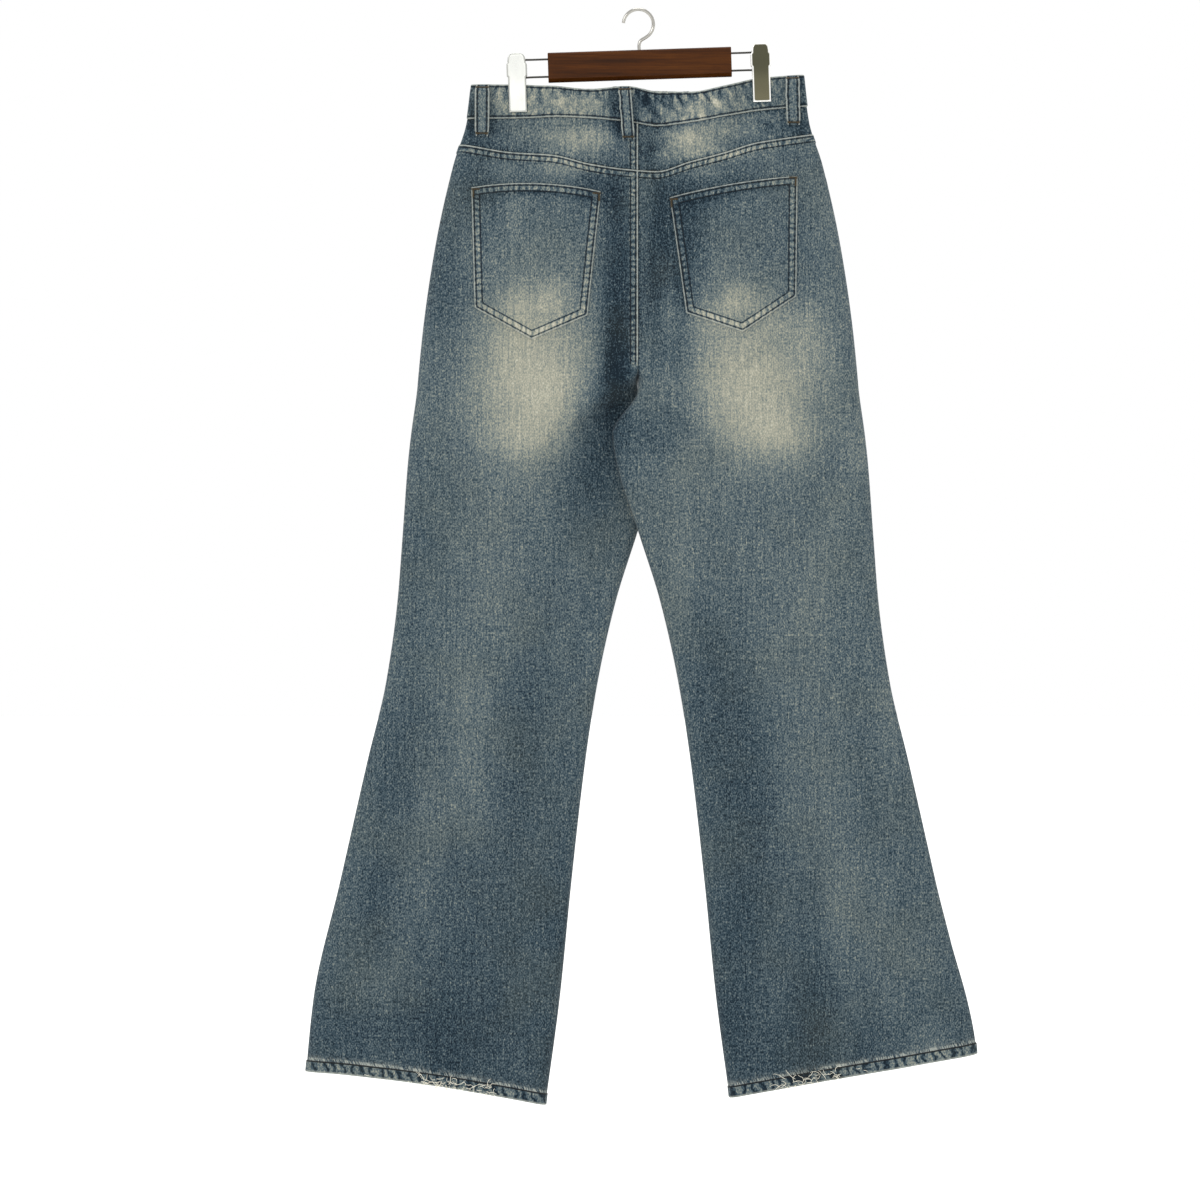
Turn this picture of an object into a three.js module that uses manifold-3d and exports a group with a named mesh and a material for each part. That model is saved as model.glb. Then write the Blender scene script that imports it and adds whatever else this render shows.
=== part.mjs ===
// Flared jeans hung flat from a wooden clip hanger, seen from the back.
// Millimetres. +Z is up, +X is the viewer's right, and the back of the jeans faces -Y.
// The origin is the inside top of the hanger's hook, where it hangs on a rail.
// "Drop" is the distance below the nominal top of the waistband.
import * as THREE from "three";
import { mergeVertices } from "three/addons/utils/BufferGeometryUtils.js";
import Module from "manifold-3d";

const wasm = await Module();
wasm.setup();

const LEFT = -1;
const RIGHT = 1;
const BACK = -1;
const FRONT = 1;

// Cloth
const WALL = 1.6;
const BAND_EXTRA = 1.0; // the folded waistband stands this far proud of the yoke
const SEAM_GAP = 0.4; // between neighbouring pieces
const LAY_GAP = 0.3; // between a piece and what it lies on
const POCKET_GAP = 0.6;
const HEM_HEIGHT = 12;
const HEM_EXTRA = 0.9;
const FELL_WIDTH = 9; // felled seams at the yoke and the seat, and the hem of a pocket's mouth
const FELL_EXTRA = 0.8;
const FLY_LENGTH = 195; // the left front is this deep doubled behind the zip
const WAIST_Z = -76.5; // height of the nominal top of the waistband
const CROTCH = 308;

// Half the outline of the flat garment. outer is from the centre to the side seam, inner from the
// centre to the inseam (below zero where the thighs lie over each other), depth is half the thickness.
const SECTIONS = [
  { at: "waist", drop: -12, outer: 173.5, inner: 0.2, depth: 14 },
  { at: "waist seam", drop: 40, outer: 180, inner: 0.2, depth: 14 },
  { at: "yoke", drop: 85, outer: 194, inner: 0.2, depth: 14 },
  { at: "high hip", drop: 165, outer: 212, inner: 0.2, depth: 15 },
  { at: "hip", drop: 250, outer: 225, inner: 0.2, depth: 16 },
  { at: "crotch", drop: 308, outer: 231, inner: 0.2, depth: 16 },
  { at: "fold begins", drop: 320, outer: 232, inner: 0.3, depth: 16 },
  { at: "fold", drop: 368, outer: 238.5, inner: -27, depth: 15 },
  { at: "under the fold", drop: 400, outer: 242, inner: -22.5, depth: 14.5 },
  { at: "legs part", drop: 475, outer: 247.5, inner: 1.5, depth: 13 },
  { at: "thigh", drop: 545, outer: 253, inner: 23.5, depth: 12 },
  { at: "above the knee", drop: 630, outer: 265, inner: 42.5, depth: 11 },
  { at: "knee", drop: 710, outer: 284, inner: 55, depth: 11 },
  { at: "calf", drop: 840, outer: 313.5, inner: 70, depth: 12 },
  { at: "flare", drop: 960, outer: 341, inner: 82, depth: 13.5 },
  { at: "hem", drop: 1072, outer: 352, inner: 97, depth: 15 },
];
const KICK = { from: 900, to: 1020, out: 9 }; // the right leg flares this much further
const HEMS = {
  [LEFT]: { outer: 1037, inner: 1071, bend: 1.5 },
  [RIGHT]: { outer: 1020, inner: 1066, bend: 1 },
};

// Drops of the waistband's top, its seam and the yoke's seam across the back, and the first two
// across the front, where the band sags between the clips.
const BACK_LINES = [
  { x: -182, top: 1, seam: 37.5, yoke: 64.5 },
  { x: -130, top: 1, seam: 37, yoke: 73 },
  { x: -90, top: 3, seam: 36, yoke: 75.5 },
  { x: -50, top: 6.5, seam: 37.5, yoke: 85 },
  { x: -12, top: 3.5, seam: 41, yoke: 90.5 },
  { x: 20, top: 9, seam: 45.5, yoke: 92.5 },
  { x: 55, top: 9.5, seam: 42, yoke: 82.5 },
  { x: 90, top: 3, seam: 35.5, yoke: 73 },
  { x: 125, top: -5.5, seam: 29, yoke: 62.5 },
  { x: 182, top: -10, seam: 24, yoke: 53.5 },
];
const FRONT_LINES = [
  { x: -182, top: 1, seam: 37.5 },
  { x: -130, top: 2.5, seam: 38.5 },
  { x: -60, top: 11, seam: 47 },
  { x: 0, top: 15, seam: 51 },
  { x: 60, top: 9, seam: 45 },
  { x: 125, top: -4, seam: 31.5 },
  { x: 182, top: -10, seam: 24 },
];

// Rounding of the tubes at the side seams and the inseams
const ROUND_OUTER = 20;
const ROUND_WAIST = 26;
const ROUND_INNER = 12;

// The crotch: the seat seam turns under, then the right thigh passes in front of the left one.
const CROTCH_TURN = 14;
const PART_Y = 11; // each thigh's middle moves this far off the centre plane
const PART_RISE = 12;
const PART_DEPTH = 9; // half thickness of the overlapping inner thighs
const PART_REACH = { near: 26, far: 110, over: 110 }; // beyond the overlap
const PART_END = { from: 475, to: 640 };

// The clips nip the waistband, and beyond them it stays thin as far as the side seam
const CLIPS = { [LEFT]: -126, [RIGHT]: 130.5 };
const NIP = { depth: 3.1, core: 16, reach: 42, full: 30, gone: 88 };
const BEYOND = { depth: 7.5, from: 122, to: 150, gone: 120 };

// The largest folds and swells: ridges are above zero. x and drop of both ends, half width, height.
const FOLDS = [
  { face: BACK, x0: -95, d0: 215, x1: -95, d1: 330, wide: 62, high: 5.5 },
  { face: BACK, x0: 98, d0: 215, x1: 98, d1: 330, wide: 62, high: 5.5 },
  { face: BACK, x0: -26, d0: 125, x1: -30, d1: 300, wide: 16, high: -3.5 },
  { face: BACK, x0: 20, d0: 20, x1: 18, d1: 215, wide: 15, high: -3 },
  { face: BACK, x0: 62, d0: 30, x1: 52, d1: 120, wide: 26, high: 2.5 },
  { face: BACK, x0: -150, d0: 420, x1: -165, d1: 760, wide: 30, high: 2 },
  { face: BACK, x0: 150, d0: 420, x1: 170, d1: 800, wide: 30, high: 2 },
  { face: BACK, x0: -250, d0: 860, x1: -285, d1: 1080, wide: 20, high: 3 },
  { face: BACK, x0: -190, d0: 820, x1: -205, d1: 1090, wide: 24, high: -3 },
  { face: BACK, x0: 175, d0: 850, x1: 190, d1: 1090, wide: 24, high: -3 },
  { face: BACK, x0: 245, d0: 830, x1: 280, d1: 1080, wide: 22, high: 3 },
  { face: FRONT, x0: -105, d0: 120, x1: -120, d1: 330, wide: 55, high: 3 },
  { face: FRONT, x0: 105, d0: 120, x1: 120, d1: 330, wide: 55, high: 3 },
  { face: FRONT, x0: -60, d0: 300, x1: -110, d1: 380, wide: 20, high: -2.5 },
  { face: FRONT, x0: 60, d0: 300, x1: 110, d1: 380, wide: 20, high: -2.5 },
  { face: FRONT, x0: -180, d0: 640, x1: -215, d1: 1080, wide: 26, high: 3 },
  { face: FRONT, x0: 180, d0: 640, x1: 215, d1: 1080, wide: 26, high: 3 },
  { face: FRONT, x0: -240, d0: 860, x1: -270, d1: 1090, wide: 22, high: -3 },
  { face: FRONT, x0: 240, d0: 860, x1: 275, d1: 1090, wide: 22, high: -3 },
];

// Patch pockets on the seat: corners as x and drop, and how far the mouth arches up
const POCKETS = {
  [LEFT]: {
    topOuter: [-175, 110],
    topInner: [-39, 114],
    bottomInner: [-53, 244.5],
    tip: [-111.5, 270],
    bottomOuter: [-171.5, 236.5],
    crown: 6.5,
  },
  [RIGHT]: {
    topOuter: [167.5, 98],
    topInner: [33.5, 120.5],
    bottomInner: [50.5, 242],
    tip: [110, 262],
    bottomOuter: [166, 224.5],
    crown: 3.5,
  },
};

// Front pockets, fly and button
const SCOOP = { wide: 102, deep: 74 };
const FACING = { under: 16, wall: 1.2, wide: 120, behind: 2.1 };
const ZIP = { half: 12, bottom: 185, tapeWall: 1.0, channel: 3.8, bed: 5, shoulder: 9 };
const SLIDER = { drop: 62, half: 4, tall: 10, thick: 2.6, tabHalf: 2.2, tabTall: 20, tabThick: 1.2 };
const FLY_END = 9; // the buttoned end of the band lies this far past the centre front
const BUTTON = { radius: 8.5, cap: 2.6, shank: 3.2, stand: 1.6 };

// Belt loops: x at the top and the bottom of each, and how they stand off the band
const LOOP = { half: 6.2, wall: 1.4, seat: 0.9, arch: 4.8, top: 0.8, below: 18.5, ramp: 0.13 };
const LOOPS = [
  { name: "belt_loop_back_centre", face: BACK, top: -14, bottom: -10 },
  { name: "belt_loop_back_left", face: BACK, top: -163, bottom: -164 },
  { name: "belt_loop_back_right", face: BACK, top: 162, bottom: 163.5 },
  { name: "belt_loop_front_left", face: FRONT, top: -74, bottom: -74 },
  { name: "belt_loop_front_right", face: FRONT, top: 76, bottom: 76 },
];

// Hanger, in its own upright frame, then tipped by TILT about the hook
const TILT = (-1.9 * Math.PI) / 180;
const HOOK = { wire: 1.8, inner: 14, sweep: 235, into: 12 };
const BAR = { length: 193, height: 31.3, depth: 12.5, z: -56.8, bevel: 1.4, underBevel: 4 };
const RAIL = { wire: 1.1, apart: 18.4, into: 15, clear: 0.3, past: 9.9 };
const CLIP = {
  x: { [LEFT]: -129.4, [RIGHT]: 127.3 },
  z: { [LEFT]: -57.6, [RIGHT]: -55.3 },
  half: 9.5,
  below: 45,
  wall: 1.2,
  gapTop: 5.6,
  gapBottom: 4.8,
};
const CORE = { half: 4.6, tall: 4 };
// The jaw's outline: height above the rail's middle and width as a share; ears at the pivot.
const JAW = [
  { up: 17, share: 0.42 },
  { up: 15.4, share: 0.76 },
  { up: 12.6, share: 0.95 },
  { up: 9, share: 1 },
  { up: 7, share: 1 },
  { up: 5.5, share: 1.13 },
  { up: -6, share: 1.13 },
  { up: -7.5, share: 1 },
  { up: -31, share: 1 },
  { up: -45, share: 1 },
];

// Mesh steps: distances from the seams in millimetres, and even steps in between
const EDGE_OUTER = [0, 1.1, 4, 10];
const EDGE_INNER = [0, 1.2, 4, 8.7, 9.5, 17, 32];
const MIDDLE = [0.08, 0.17, 0.27, 0.37, 0.5, 0.65, 0.82]; // shares of the width between them
const ROWS = [
  120, 142, 170, 205, 240, 268, 286, 294, 300, 304.5, 308, 311, 315, 320, 330, 346, 368, 395, 430,
  475, 535, 605, 685, 770, 855, 935, 1000,
];
const POCKET_ROWS = [0, 0.06, 0.067, 0.22, 0.38, 0.54, 0.7, 0.85, 1]; // shares of its height

const clamp = (v) => Math.min(1, Math.max(0, v));
const lerp = (a, b, t) => a + (b - a) * t;
const smooth = (v) => {
  const t = clamp(v);
  return t * t * (3 - 2 * t);
};
const quarterRound = (v) => Math.sqrt(1 - (1 - clamp(v)) ** 2);

// A smooth curve through a table's column, without overshoot.
function tableCurve(rows, key, column) {
  const xs = rows.map((r) => r[key]);
  const ys = rows.map((r) => r[column]);
  const slopes = xs.slice(1).map((x, i) => (ys[i + 1] - ys[i]) / (x - xs[i]));
  const tangents = xs.map((_, i) => {
    if (i === 0) return slopes[0];
    if (i === xs.length - 1) return slopes[i - 1];
    const product = slopes[i - 1] * slopes[i];
    return product <= 0 ? 0 : (2 * product) / (slopes[i - 1] + slopes[i]);
  });
  return (x) => {
    const at = Math.min(xs.length - 2, Math.max(0, xs.findLastIndex((v) => v <= x)));
    const h = xs[at + 1] - xs[at];
    const t = clamp((x - xs[at]) / h);
    const t2 = t * t;
    const t3 = t2 * t;
    return (
      (2 * t3 - 3 * t2 + 1) * ys[at] +
      (t3 - 2 * t2 + t) * h * tangents[at] +
      (3 * t2 - 2 * t3) * ys[at + 1] +
      (t3 - t2) * h * tangents[at + 1]
    );
  };
}

const outerCurve = tableCurve(SECTIONS, "drop", "outer");
const innerCurve = tableCurve(SECTIONS, "drop", "inner");
const depthCurve = tableCurve(SECTIONS, "drop", "depth");
const lines = {
  [BACK]: {
    top: tableCurve(BACK_LINES, "x", "top"),
    seam: tableCurve(BACK_LINES, "x", "seam"),
    yoke: tableCurve(BACK_LINES, "x", "yoke"),
  },
  [FRONT]: {
    top: tableCurve(FRONT_LINES, "x", "top"),
    seam: tableCurve(FRONT_LINES, "x", "seam"),
  },
};

function outerEdge(side, drop) {
  const kick = side === RIGHT ? KICK.out * smooth((drop - KICK.from) / (KICK.to - KICK.from)) : 0;
  return outerCurve(drop) + kick;
}

function nip(x, drop) {
  const under = drop - lines[BACK].top(x);
  const down = 1 - smooth((under - NIP.full) / (NIP.gone - NIP.full));
  const beside = (clip) => 1 - smooth((Math.abs(x - clip) - NIP.core) / (NIP.reach - NIP.core));
  return down * Math.max(beside(CLIPS[LEFT]), beside(CLIPS[RIGHT]));
}

// Half the garment's thickness where nothing else bends it.
function halfDepth(x, drop) {
  const beyond = smooth((Math.abs(x) - BEYOND.from) / (BEYOND.to - BEYOND.from));
  const down = 1 - smooth((drop - NIP.full) / (BEYOND.gone - NIP.full));
  const open = lerp(depthCurve(drop), BEYOND.depth, beyond * down);
  return lerp(open, NIP.depth, nip(x, drop));
}

function foldHeight(face, x, drop) {
  let height = 0;
  for (const f of FOLDS) {
    if (f.face !== face) continue;
    const dx = f.x1 - f.x0;
    const dd = f.d1 - f.d0;
    const length2 = dx * dx + dd * dd;
    const along = clamp(((x - f.x0) * dx + (drop - f.d0) * dd) / length2);
    const away = Math.hypot(x - f.x0 - along * dx, drop - f.d0 - along * dd);
    height += f.high * Math.exp(-((away / f.wide) ** 2));
  }
  return height;
}

// How far the thighs have parted in depth, from 0 to 1.
function parting(drop) {
  if (drop <= CROTCH) return 0;
  const rise = smooth((drop - CROTCH) / PART_RISE);
  return rise * (1 - smooth((drop - PART_END.from) / (PART_END.to - PART_END.from)));
}

// The y of the cloth's outer surface on one side and face, at an x and a drop.
function clothY(side, face, x, drop) {
  const fromOuter = Math.max(0, outerEdge(side, drop) - side * x);
  const inner = innerCurve(drop);
  const fromInner = Math.max(0, side * x - inner);
  const parted = parting(drop);
  const reach = lerp(PART_REACH.near, PART_REACH.far, smooth((drop - CROTCH) / PART_REACH.over));
  const near = 1 - smooth((fromInner + 2 * Math.min(0, inner)) / reach);
  const half = lerp(halfDepth(x, drop), PART_DEPTH, near * parted);
  const round = lerp(ROUND_WAIST, ROUND_OUTER, smooth(drop / 150));
  const turn = clamp((drop - CROTCH + CROTCH_TURN) / CROTCH_TURN);
  const closed = 1 - Math.sqrt(1 - turn * turn);
  const profile =
    quarterRound(fromOuter / round) * (1 - closed * (1 - quarterRound(fromInner / ROUND_INNER)));
  const swell = foldHeight(face, x, drop) * profile * (1 - nip(x, drop)) * (1 - near * parted);
  const gap = SEAM_GAP / 2;
  return -side * PART_Y * parted * near + face * (gap + (half - gap) * profile + swell);
}

const point = (x, y, drop) => new THREE.Vector3(x, y, WAIST_Z - drop);

// A point of the cloth moved outwards by lift, square to the cloth.
function onCloth(face, x, drop, lift) {
  const step = 1.5;
  const at = (px, pd) => clothY(px < 0 ? LEFT : RIGHT, face, px, pd);
  const slopeX = (at(x + step, drop) - at(x - step, drop)) / (2 * step);
  const slopeDrop = (at(x, drop + step) - at(x, drop - step)) / (2 * step);
  const out = new THREE.Vector3(-slopeX, 1, slopeDrop).normalize().multiplyScalar(face);
  return point(x, at(x, drop), drop).addScaledVector(out, lift);
}

// A closed wall between two grids of points of the same shape.
function wallBetween(outer, inner) {
  const rows = outer.length;
  const columns = outer[0].length;
  const positions = [...outer.flat(), ...inner.flat()].flatMap((p) => [p.x, p.y, p.z]);
  const index = [];
  const front = (i, j) => i * columns + j;
  const back = (i, j) => rows * columns + front(i, j);
  const quad = (a, b, c, d) => index.push(a, b, c, a, c, d);
  for (let i = 0; i < rows - 1; i++) {
    for (let j = 0; j < columns - 1; j++) {
      quad(front(i, j), front(i + 1, j), front(i + 1, j + 1), front(i, j + 1));
      quad(back(i, j), back(i, j + 1), back(i + 1, j + 1), back(i + 1, j));
    }
    quad(front(i, 0), back(i, 0), back(i + 1, 0), front(i + 1, 0));
    const last = columns - 1;
    quad(front(i, last), front(i + 1, last), back(i + 1, last), back(i, last));
  }
  for (let j = 0; j < columns - 1; j++) {
    quad(front(0, j), front(0, j + 1), back(0, j + 1), back(0, j));
    const last = rows - 1;
    quad(front(last, j), back(last, j), back(last, j + 1), front(last, j + 1));
  }
  const geometry = new THREE.BufferGeometry();
  geometry.setAttribute("position", new THREE.Float32BufferAttribute(positions, 3));
  geometry.setIndex(index);
  return facingOut(geometry);
}

// Turns a closed geometry's faces round if they point inwards.
function facingOut(geometry) {
  const p = geometry.getAttribute("position");
  const index = geometry.index.array;
  const a = new THREE.Vector3();
  const b = new THREE.Vector3();
  const c = new THREE.Vector3();
  let volume = 0;
  for (let i = 0; i < index.length; i += 3) {
    a.fromBufferAttribute(p, index[i]);
    b.fromBufferAttribute(p, index[i + 1]);
    c.fromBufferAttribute(p, index[i + 2]);
    volume += a.dot(b.cross(c));
  }
  if (volume < 0) {
    for (let i = 0; i < index.length; i += 3) {
      [index[i + 1], index[i + 2]] = [index[i + 2], index[i + 1]];
    }
  }
  geometry.computeVertexNormals();
  return geometry;
}

// Outward directions of a grid of points. square(i, j, n) may straighten one at a seam.
function gridNormals(grid, face, square = () => {}) {
  const rows = grid.length;
  const columns = grid[0].length;
  const acrossAt = (i, j) =>
    grid[i][Math.min(columns - 1, j + 1)].clone().sub(grid[i][Math.max(0, j - 1)]);
  const downAt = (i, j) =>
    grid[Math.min(rows - 1, i + 1)][j].clone().sub(grid[Math.max(0, i - 1)][j]);
  const middle = Math.floor(columns / 2);
  const flip = acrossAt(0, middle).cross(downAt(0, middle)).y * face < 0 ? -1 : 1;
  return grid.map((row, i) =>
    row.map((_, j) => {
      const n = acrossAt(i, j).cross(downAt(i, j)).multiplyScalar(flip).normalize();
      square(i, j, n);
      return n.normalize();
    }),
  );
}

function moved(grid, normals, by) {
  return grid.map((row, i) =>
    row.map((p, j) => p.clone().addScaledVector(normals[i][j], by(i, j))),
  );
}

// Distances of a panel's columns from the side seam, for a panel of that width.
function columnsAcross(width) {
  const start = EDGE_OUTER.at(-1);
  const end = width - EDGE_INNER.at(-1);
  const middle = MIDDLE.map((share) => lerp(start, end, share));
  return [...EDGE_OUTER, ...middle, ...EDGE_INNER.map((b) => width - b).reverse()];
}

const COLUMNS = EDGE_OUTER.length + MIDDLE.length + EDGE_INNER.length;
const widthAt = (side, drop) => outerEdge(side, drop) - innerCurve(drop);
const columnX = (side, j, drop) =>
  side * (outerEdge(side, drop) - columnsAcross(widthAt(side, drop))[j]);

// The drop where a panel's column crosses a line given as a drop for each x.
function crossing(side, j, line) {
  let drop = 60;
  for (let turn = 0; turn < 6; turn++) drop = line(columnX(side, j, drop), drop);
  return drop;
}

const scoopDrop = (fromSide) =>
  fromSide >= SCOOP.wide ? 0 : SCOOP.deep * Math.cos((Math.PI / 2) * (fromSide / SCOOP.wide));

function panelTop(side, face, j) {
  const line =
    face === BACK
      ? lines[BACK].yoke
      : (x, drop) => lines[FRONT].seam(x) + scoopDrop(outerEdge(side, drop) - side * x);
  return crossing(side, j, line) + SEAM_GAP / 2;
}

function hemDrop(side, share) {
  const hem = HEMS[side];
  return lerp(hem.outer, hem.inner, share ** hem.bend);
}

// One leg panel: from the yoke or the front waist seam down to the hem, a wall with a turned hem.
function legPanel(side, face) {
  const last = COLUMNS - 1;
  const startRows = face === BACK ? [0, FELL_WIDTH, FELL_WIDTH + 0.8, 28] : [0, 9, 20, 40];
  const from = panelTop(side, face, last);
  const to = hemDrop(side, 1);
  const rows = [
    ...startRows.map((d) => from + d),
    ...ROWS,
    to - HEM_HEIGHT - 0.8,
    to - HEM_HEIGHT,
    to,
  ];
  const hemTurn = rows.length - 2;
  const columns = columnsAcross(1000);
  const grid = rows.map(() => []);
  for (let j = 0; j < COLUMNS; j++) {
    const top = panelTop(side, face, j);
    const share = j === last ? 1 : columns[j] / 1000;
    const foot = hemDrop(side, share);
    rows.forEach((row, i) => {
      let drop = lerp(top, foot, (row - from) / (to - from));
      if (i < startRows.length) drop = top + startRows[i];
      if (i === hemTurn - 1) drop = foot - HEM_HEIGHT - 0.8;
      if (i === hemTurn) drop = foot - HEM_HEIGHT;
      const x = columnX(side, j, drop);
      grid[i].push(point(x, clothY(side, face, x, drop), drop));
    });
  }
  const normals = gridNormals(grid, face, (i, j, n) => {
    if (j === 0) n.y = 0;
    if (j === last && rows[i] < CROTCH) n.x = 0;
    if (j === last && rows[i] > CROTCH) n.set(-side, 0, 0);
    if (j === last && rows[i] === CROTCH) n.set(-side, 0, -1);
  });
  const inSeatSeam = (i, j) =>
    face === BACK && side === LEFT && j >= COLUMNS - 4 && rows[i] < CROTCH - CROTCH_TURN;
  const inFly = (i, j) => face === FRONT && side === LEFT && j >= COLUMNS - 7 && rows[i] < FLY_LENGTH;
  const raised = moved(grid, normals, (i, j) => {
    if (i >= hemTurn) return HEM_EXTRA;
    const inYokeSeam = face === BACK && i < 2;
    return inYokeSeam || inSeatSeam(i, j) || inFly(i, j) ? FELL_EXTRA : 0;
  });
  return wallBetween(raised, moved(grid, normals, () => -WALL));
}

// A yoke half: between the waistband's seam and the yoke's seam.
function yoke(side) {
  const last = COLUMNS - 1;
  const grid = [[], [], [], []];
  for (let j = 0; j < COLUMNS; j++) {
    const from = crossing(side, j, lines[BACK].seam) + SEAM_GAP / 2;
    const to = crossing(side, j, lines[BACK].yoke) - SEAM_GAP / 2;
    grid.forEach((row, i) => {
      const drop = lerp(from, to, i / 3);
      const x = columnX(side, j, drop);
      row.push(point(x, clothY(side, BACK, x, drop), drop));
    });
  }
  const normals = gridNormals(grid, BACK, (i, j, n) => {
    if (j === 0) n.y = 0;
    if (j === last) n.x = 0;
  });
  return wallBetween(grid, moved(grid, normals, () => -WALL));
}

// Half the waistband: from the centre back round the side to the fly, thicker than the other walls.
function waistband(side) {
  const columns = columnsAcross(1000).map((_, j) => j);
  const frontColumns = columns.slice(1, side === LEFT ? -3 : -5);
  const fly = side === LEFT ? FLY_END : FLY_END + SEAM_GAP;
  const stations = [
    ...columns.toReversed().map((j) => ({ face: BACK, x: (drop) => columnX(side, j, drop) })),
    ...frontColumns.map((j) => ({ face: FRONT, x: (drop) => columnX(side, j, drop) })),
    ...(side === LEFT ? [{ face: FRONT, x: () => -1 }] : []),
    { face: FRONT, x: () => fly },
  ];
  const sideColumn = COLUMNS - 1;
  const last = stations.length - 1;
  const grid = [0, 1 / 3, 2 / 3, 1].map(() => []);
  for (const [j, { face, x }] of stations.entries()) {
    const meet = (line) => {
      let drop = 20;
      for (let turn = 0; turn < 6; turn++) drop = line(x(drop));
      return drop;
    };
    const from = meet(lines[face].top);
    const to = meet(lines[face].seam) - SEAM_GAP / 2;
    grid.forEach((row, i) => {
      const drop = lerp(from, to, i / 3);
      const px = x(drop);
      const y = j === sideColumn ? 0 : clothY(px < 0 ? LEFT : RIGHT, face, px, drop);
      row.push(point(px, y, drop));
    });
  }
  const normals = grid.map((row, i) =>
    row.map((_, j) => {
      const across = row[Math.min(last, j + 1)].clone().sub(row[Math.max(0, j - 1)]);
      const down = grid[Math.min(3, i + 1)][j].clone().sub(grid[Math.max(0, i - 1)][j]);
      const n = down.cross(across).multiplyScalar(side);
      if (j === 0 || j === last) n.x = 0;
      if (j === sideColumn) n.y = 0;
      return n.normalize();
    }),
  );
  return wallBetween(
    moved(grid, normals, () => BAND_EXTRA),
    moved(grid, normals, () => -WALL),
  );
}

// A patch pocket lying on the back panel, with its hemmed mouth and its pointed bottom.
function backPocket(side) {
  const p = POCKETS[side];
  const steps = 10;
  const mix = (from, to, t) => [lerp(from[0], to[0], t), lerp(from[1], to[1], t)];
  const outer = [];
  const inner = [];
  for (const [i, down] of POCKET_ROWS.entries()) {
    outer.push([]);
    inner.push([]);
    for (let j = 0; j <= steps; j++) {
      const t = j / steps;
      const mouth = mix(p.topOuter, p.topInner, t);
      mouth[1] -= p.crown * 4 * t * (1 - t);
      const foot = t < 0.5 ? mix(p.bottomOuter, p.tip, 2 * t) : mix(p.tip, p.bottomInner, 2 * t - 1);
      const [x, drop] = mix(mouth, foot, down);
      const hem = i < 2 ? FELL_EXTRA : 0;
      inner[i].push(onCloth(BACK, x, drop, POCKET_GAP));
      outer[i].push(onCloth(BACK, x, drop, POCKET_GAP + WALL + hem));
    }
  }
  return wallBetween(outer, inner);
}

// The pocket facing that shows in the scoop of a front pocket, behind the front panel.
function pocketFacing(side) {
  const columns = [0, 1.1, 4, 10, 30, 52, 74, 92, 106, FACING.wide];
  const grid = [0, 1, 2, 3, 4, 5].map((i) =>
    columns.map((fromOuter) => {
      let drop = 60;
      let x = 0;
      for (let turn = 0; turn < 6; turn++) {
        x = side * (outerEdge(side, drop) - fromOuter);
        const from = lines[FRONT].seam(x) + FACING.behind;
        drop = from + (i / 5) * (scoopDrop(fromOuter) + FACING.under);
      }
      return point(x, clothY(side, FRONT, x, drop), drop);
    }),
  );
  const normals = gridNormals(grid, FRONT, (i, j, n) => {
    if (j === 0) n.y = 0;
  });
  const sunk = (i, j) => {
    const nipped = nip(grid[i][j].x, WAIST_Z - grid[i][j].z);
    return (WALL + FACING.behind) * (1 - nipped ** 2);
  };
  return wallBetween(
    moved(grid, normals, (i, j) => -sunk(i, j)),
    moved(grid, normals, (i, j) => -sunk(i, j) - FACING.wall),
  );
}

// The zip's tape behind the fly, hollowed down the middle for the slider.
function zipTape() {
  const across = [-1, -0.76, -0.41, 0, 0.41, 0.76, 1];
  const rows = 10;
  const outer = [];
  const inner = [];
  for (let i = 0; i <= rows; i++) {
    outer.push([]);
    inner.push([]);
    for (const share of across) {
      const x = share * ZIP.half;
      const top = lines[FRONT].seam(x) + 1;
      const drop = lerp(top, ZIP.bottom, i / rows);
      const middle = 1 - smooth((Math.abs(x) - ZIP.bed) / (ZIP.shoulder - ZIP.bed));
      const sunk = WALL + LAY_GAP + ZIP.channel * middle * smooth((rows - i) / 3);
      outer[i].push(onCloth(FRONT, x, drop, -sunk));
      inner[i].push(onCloth(FRONT, x, drop, -sunk - ZIP.tapeWall));
    }
  }
  return wallBetween(outer, inner);
}

// The zip's slider with its tab folded down, between the fly and the tape.
function zipSlider() {
  const near = -WALL - LAY_GAP;
  const far = near - SLIDER.thick;
  const stations = [
    { drop: 0, half: SLIDER.half * 0.7, far },
    { drop: SLIDER.tall * 0.4, half: SLIDER.half, far },
    { drop: SLIDER.tall, half: SLIDER.half * 0.6, far },
    { drop: SLIDER.tall + 1, half: SLIDER.tabHalf, far: near - SLIDER.tabThick },
    { drop: SLIDER.tall + SLIDER.tabTall, half: SLIDER.tabHalf, far: near - SLIDER.tabThick },
  ];
  const grid = (lift) =>
    stations.map((s) =>
      [-1, 0, 1].map((share) => onCloth(FRONT, share * s.half, SLIDER.drop + s.drop, lift(s))),
    );
  return wallBetween(
    grid(() => near),
    grid((s) => s.far),
  );
}

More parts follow.
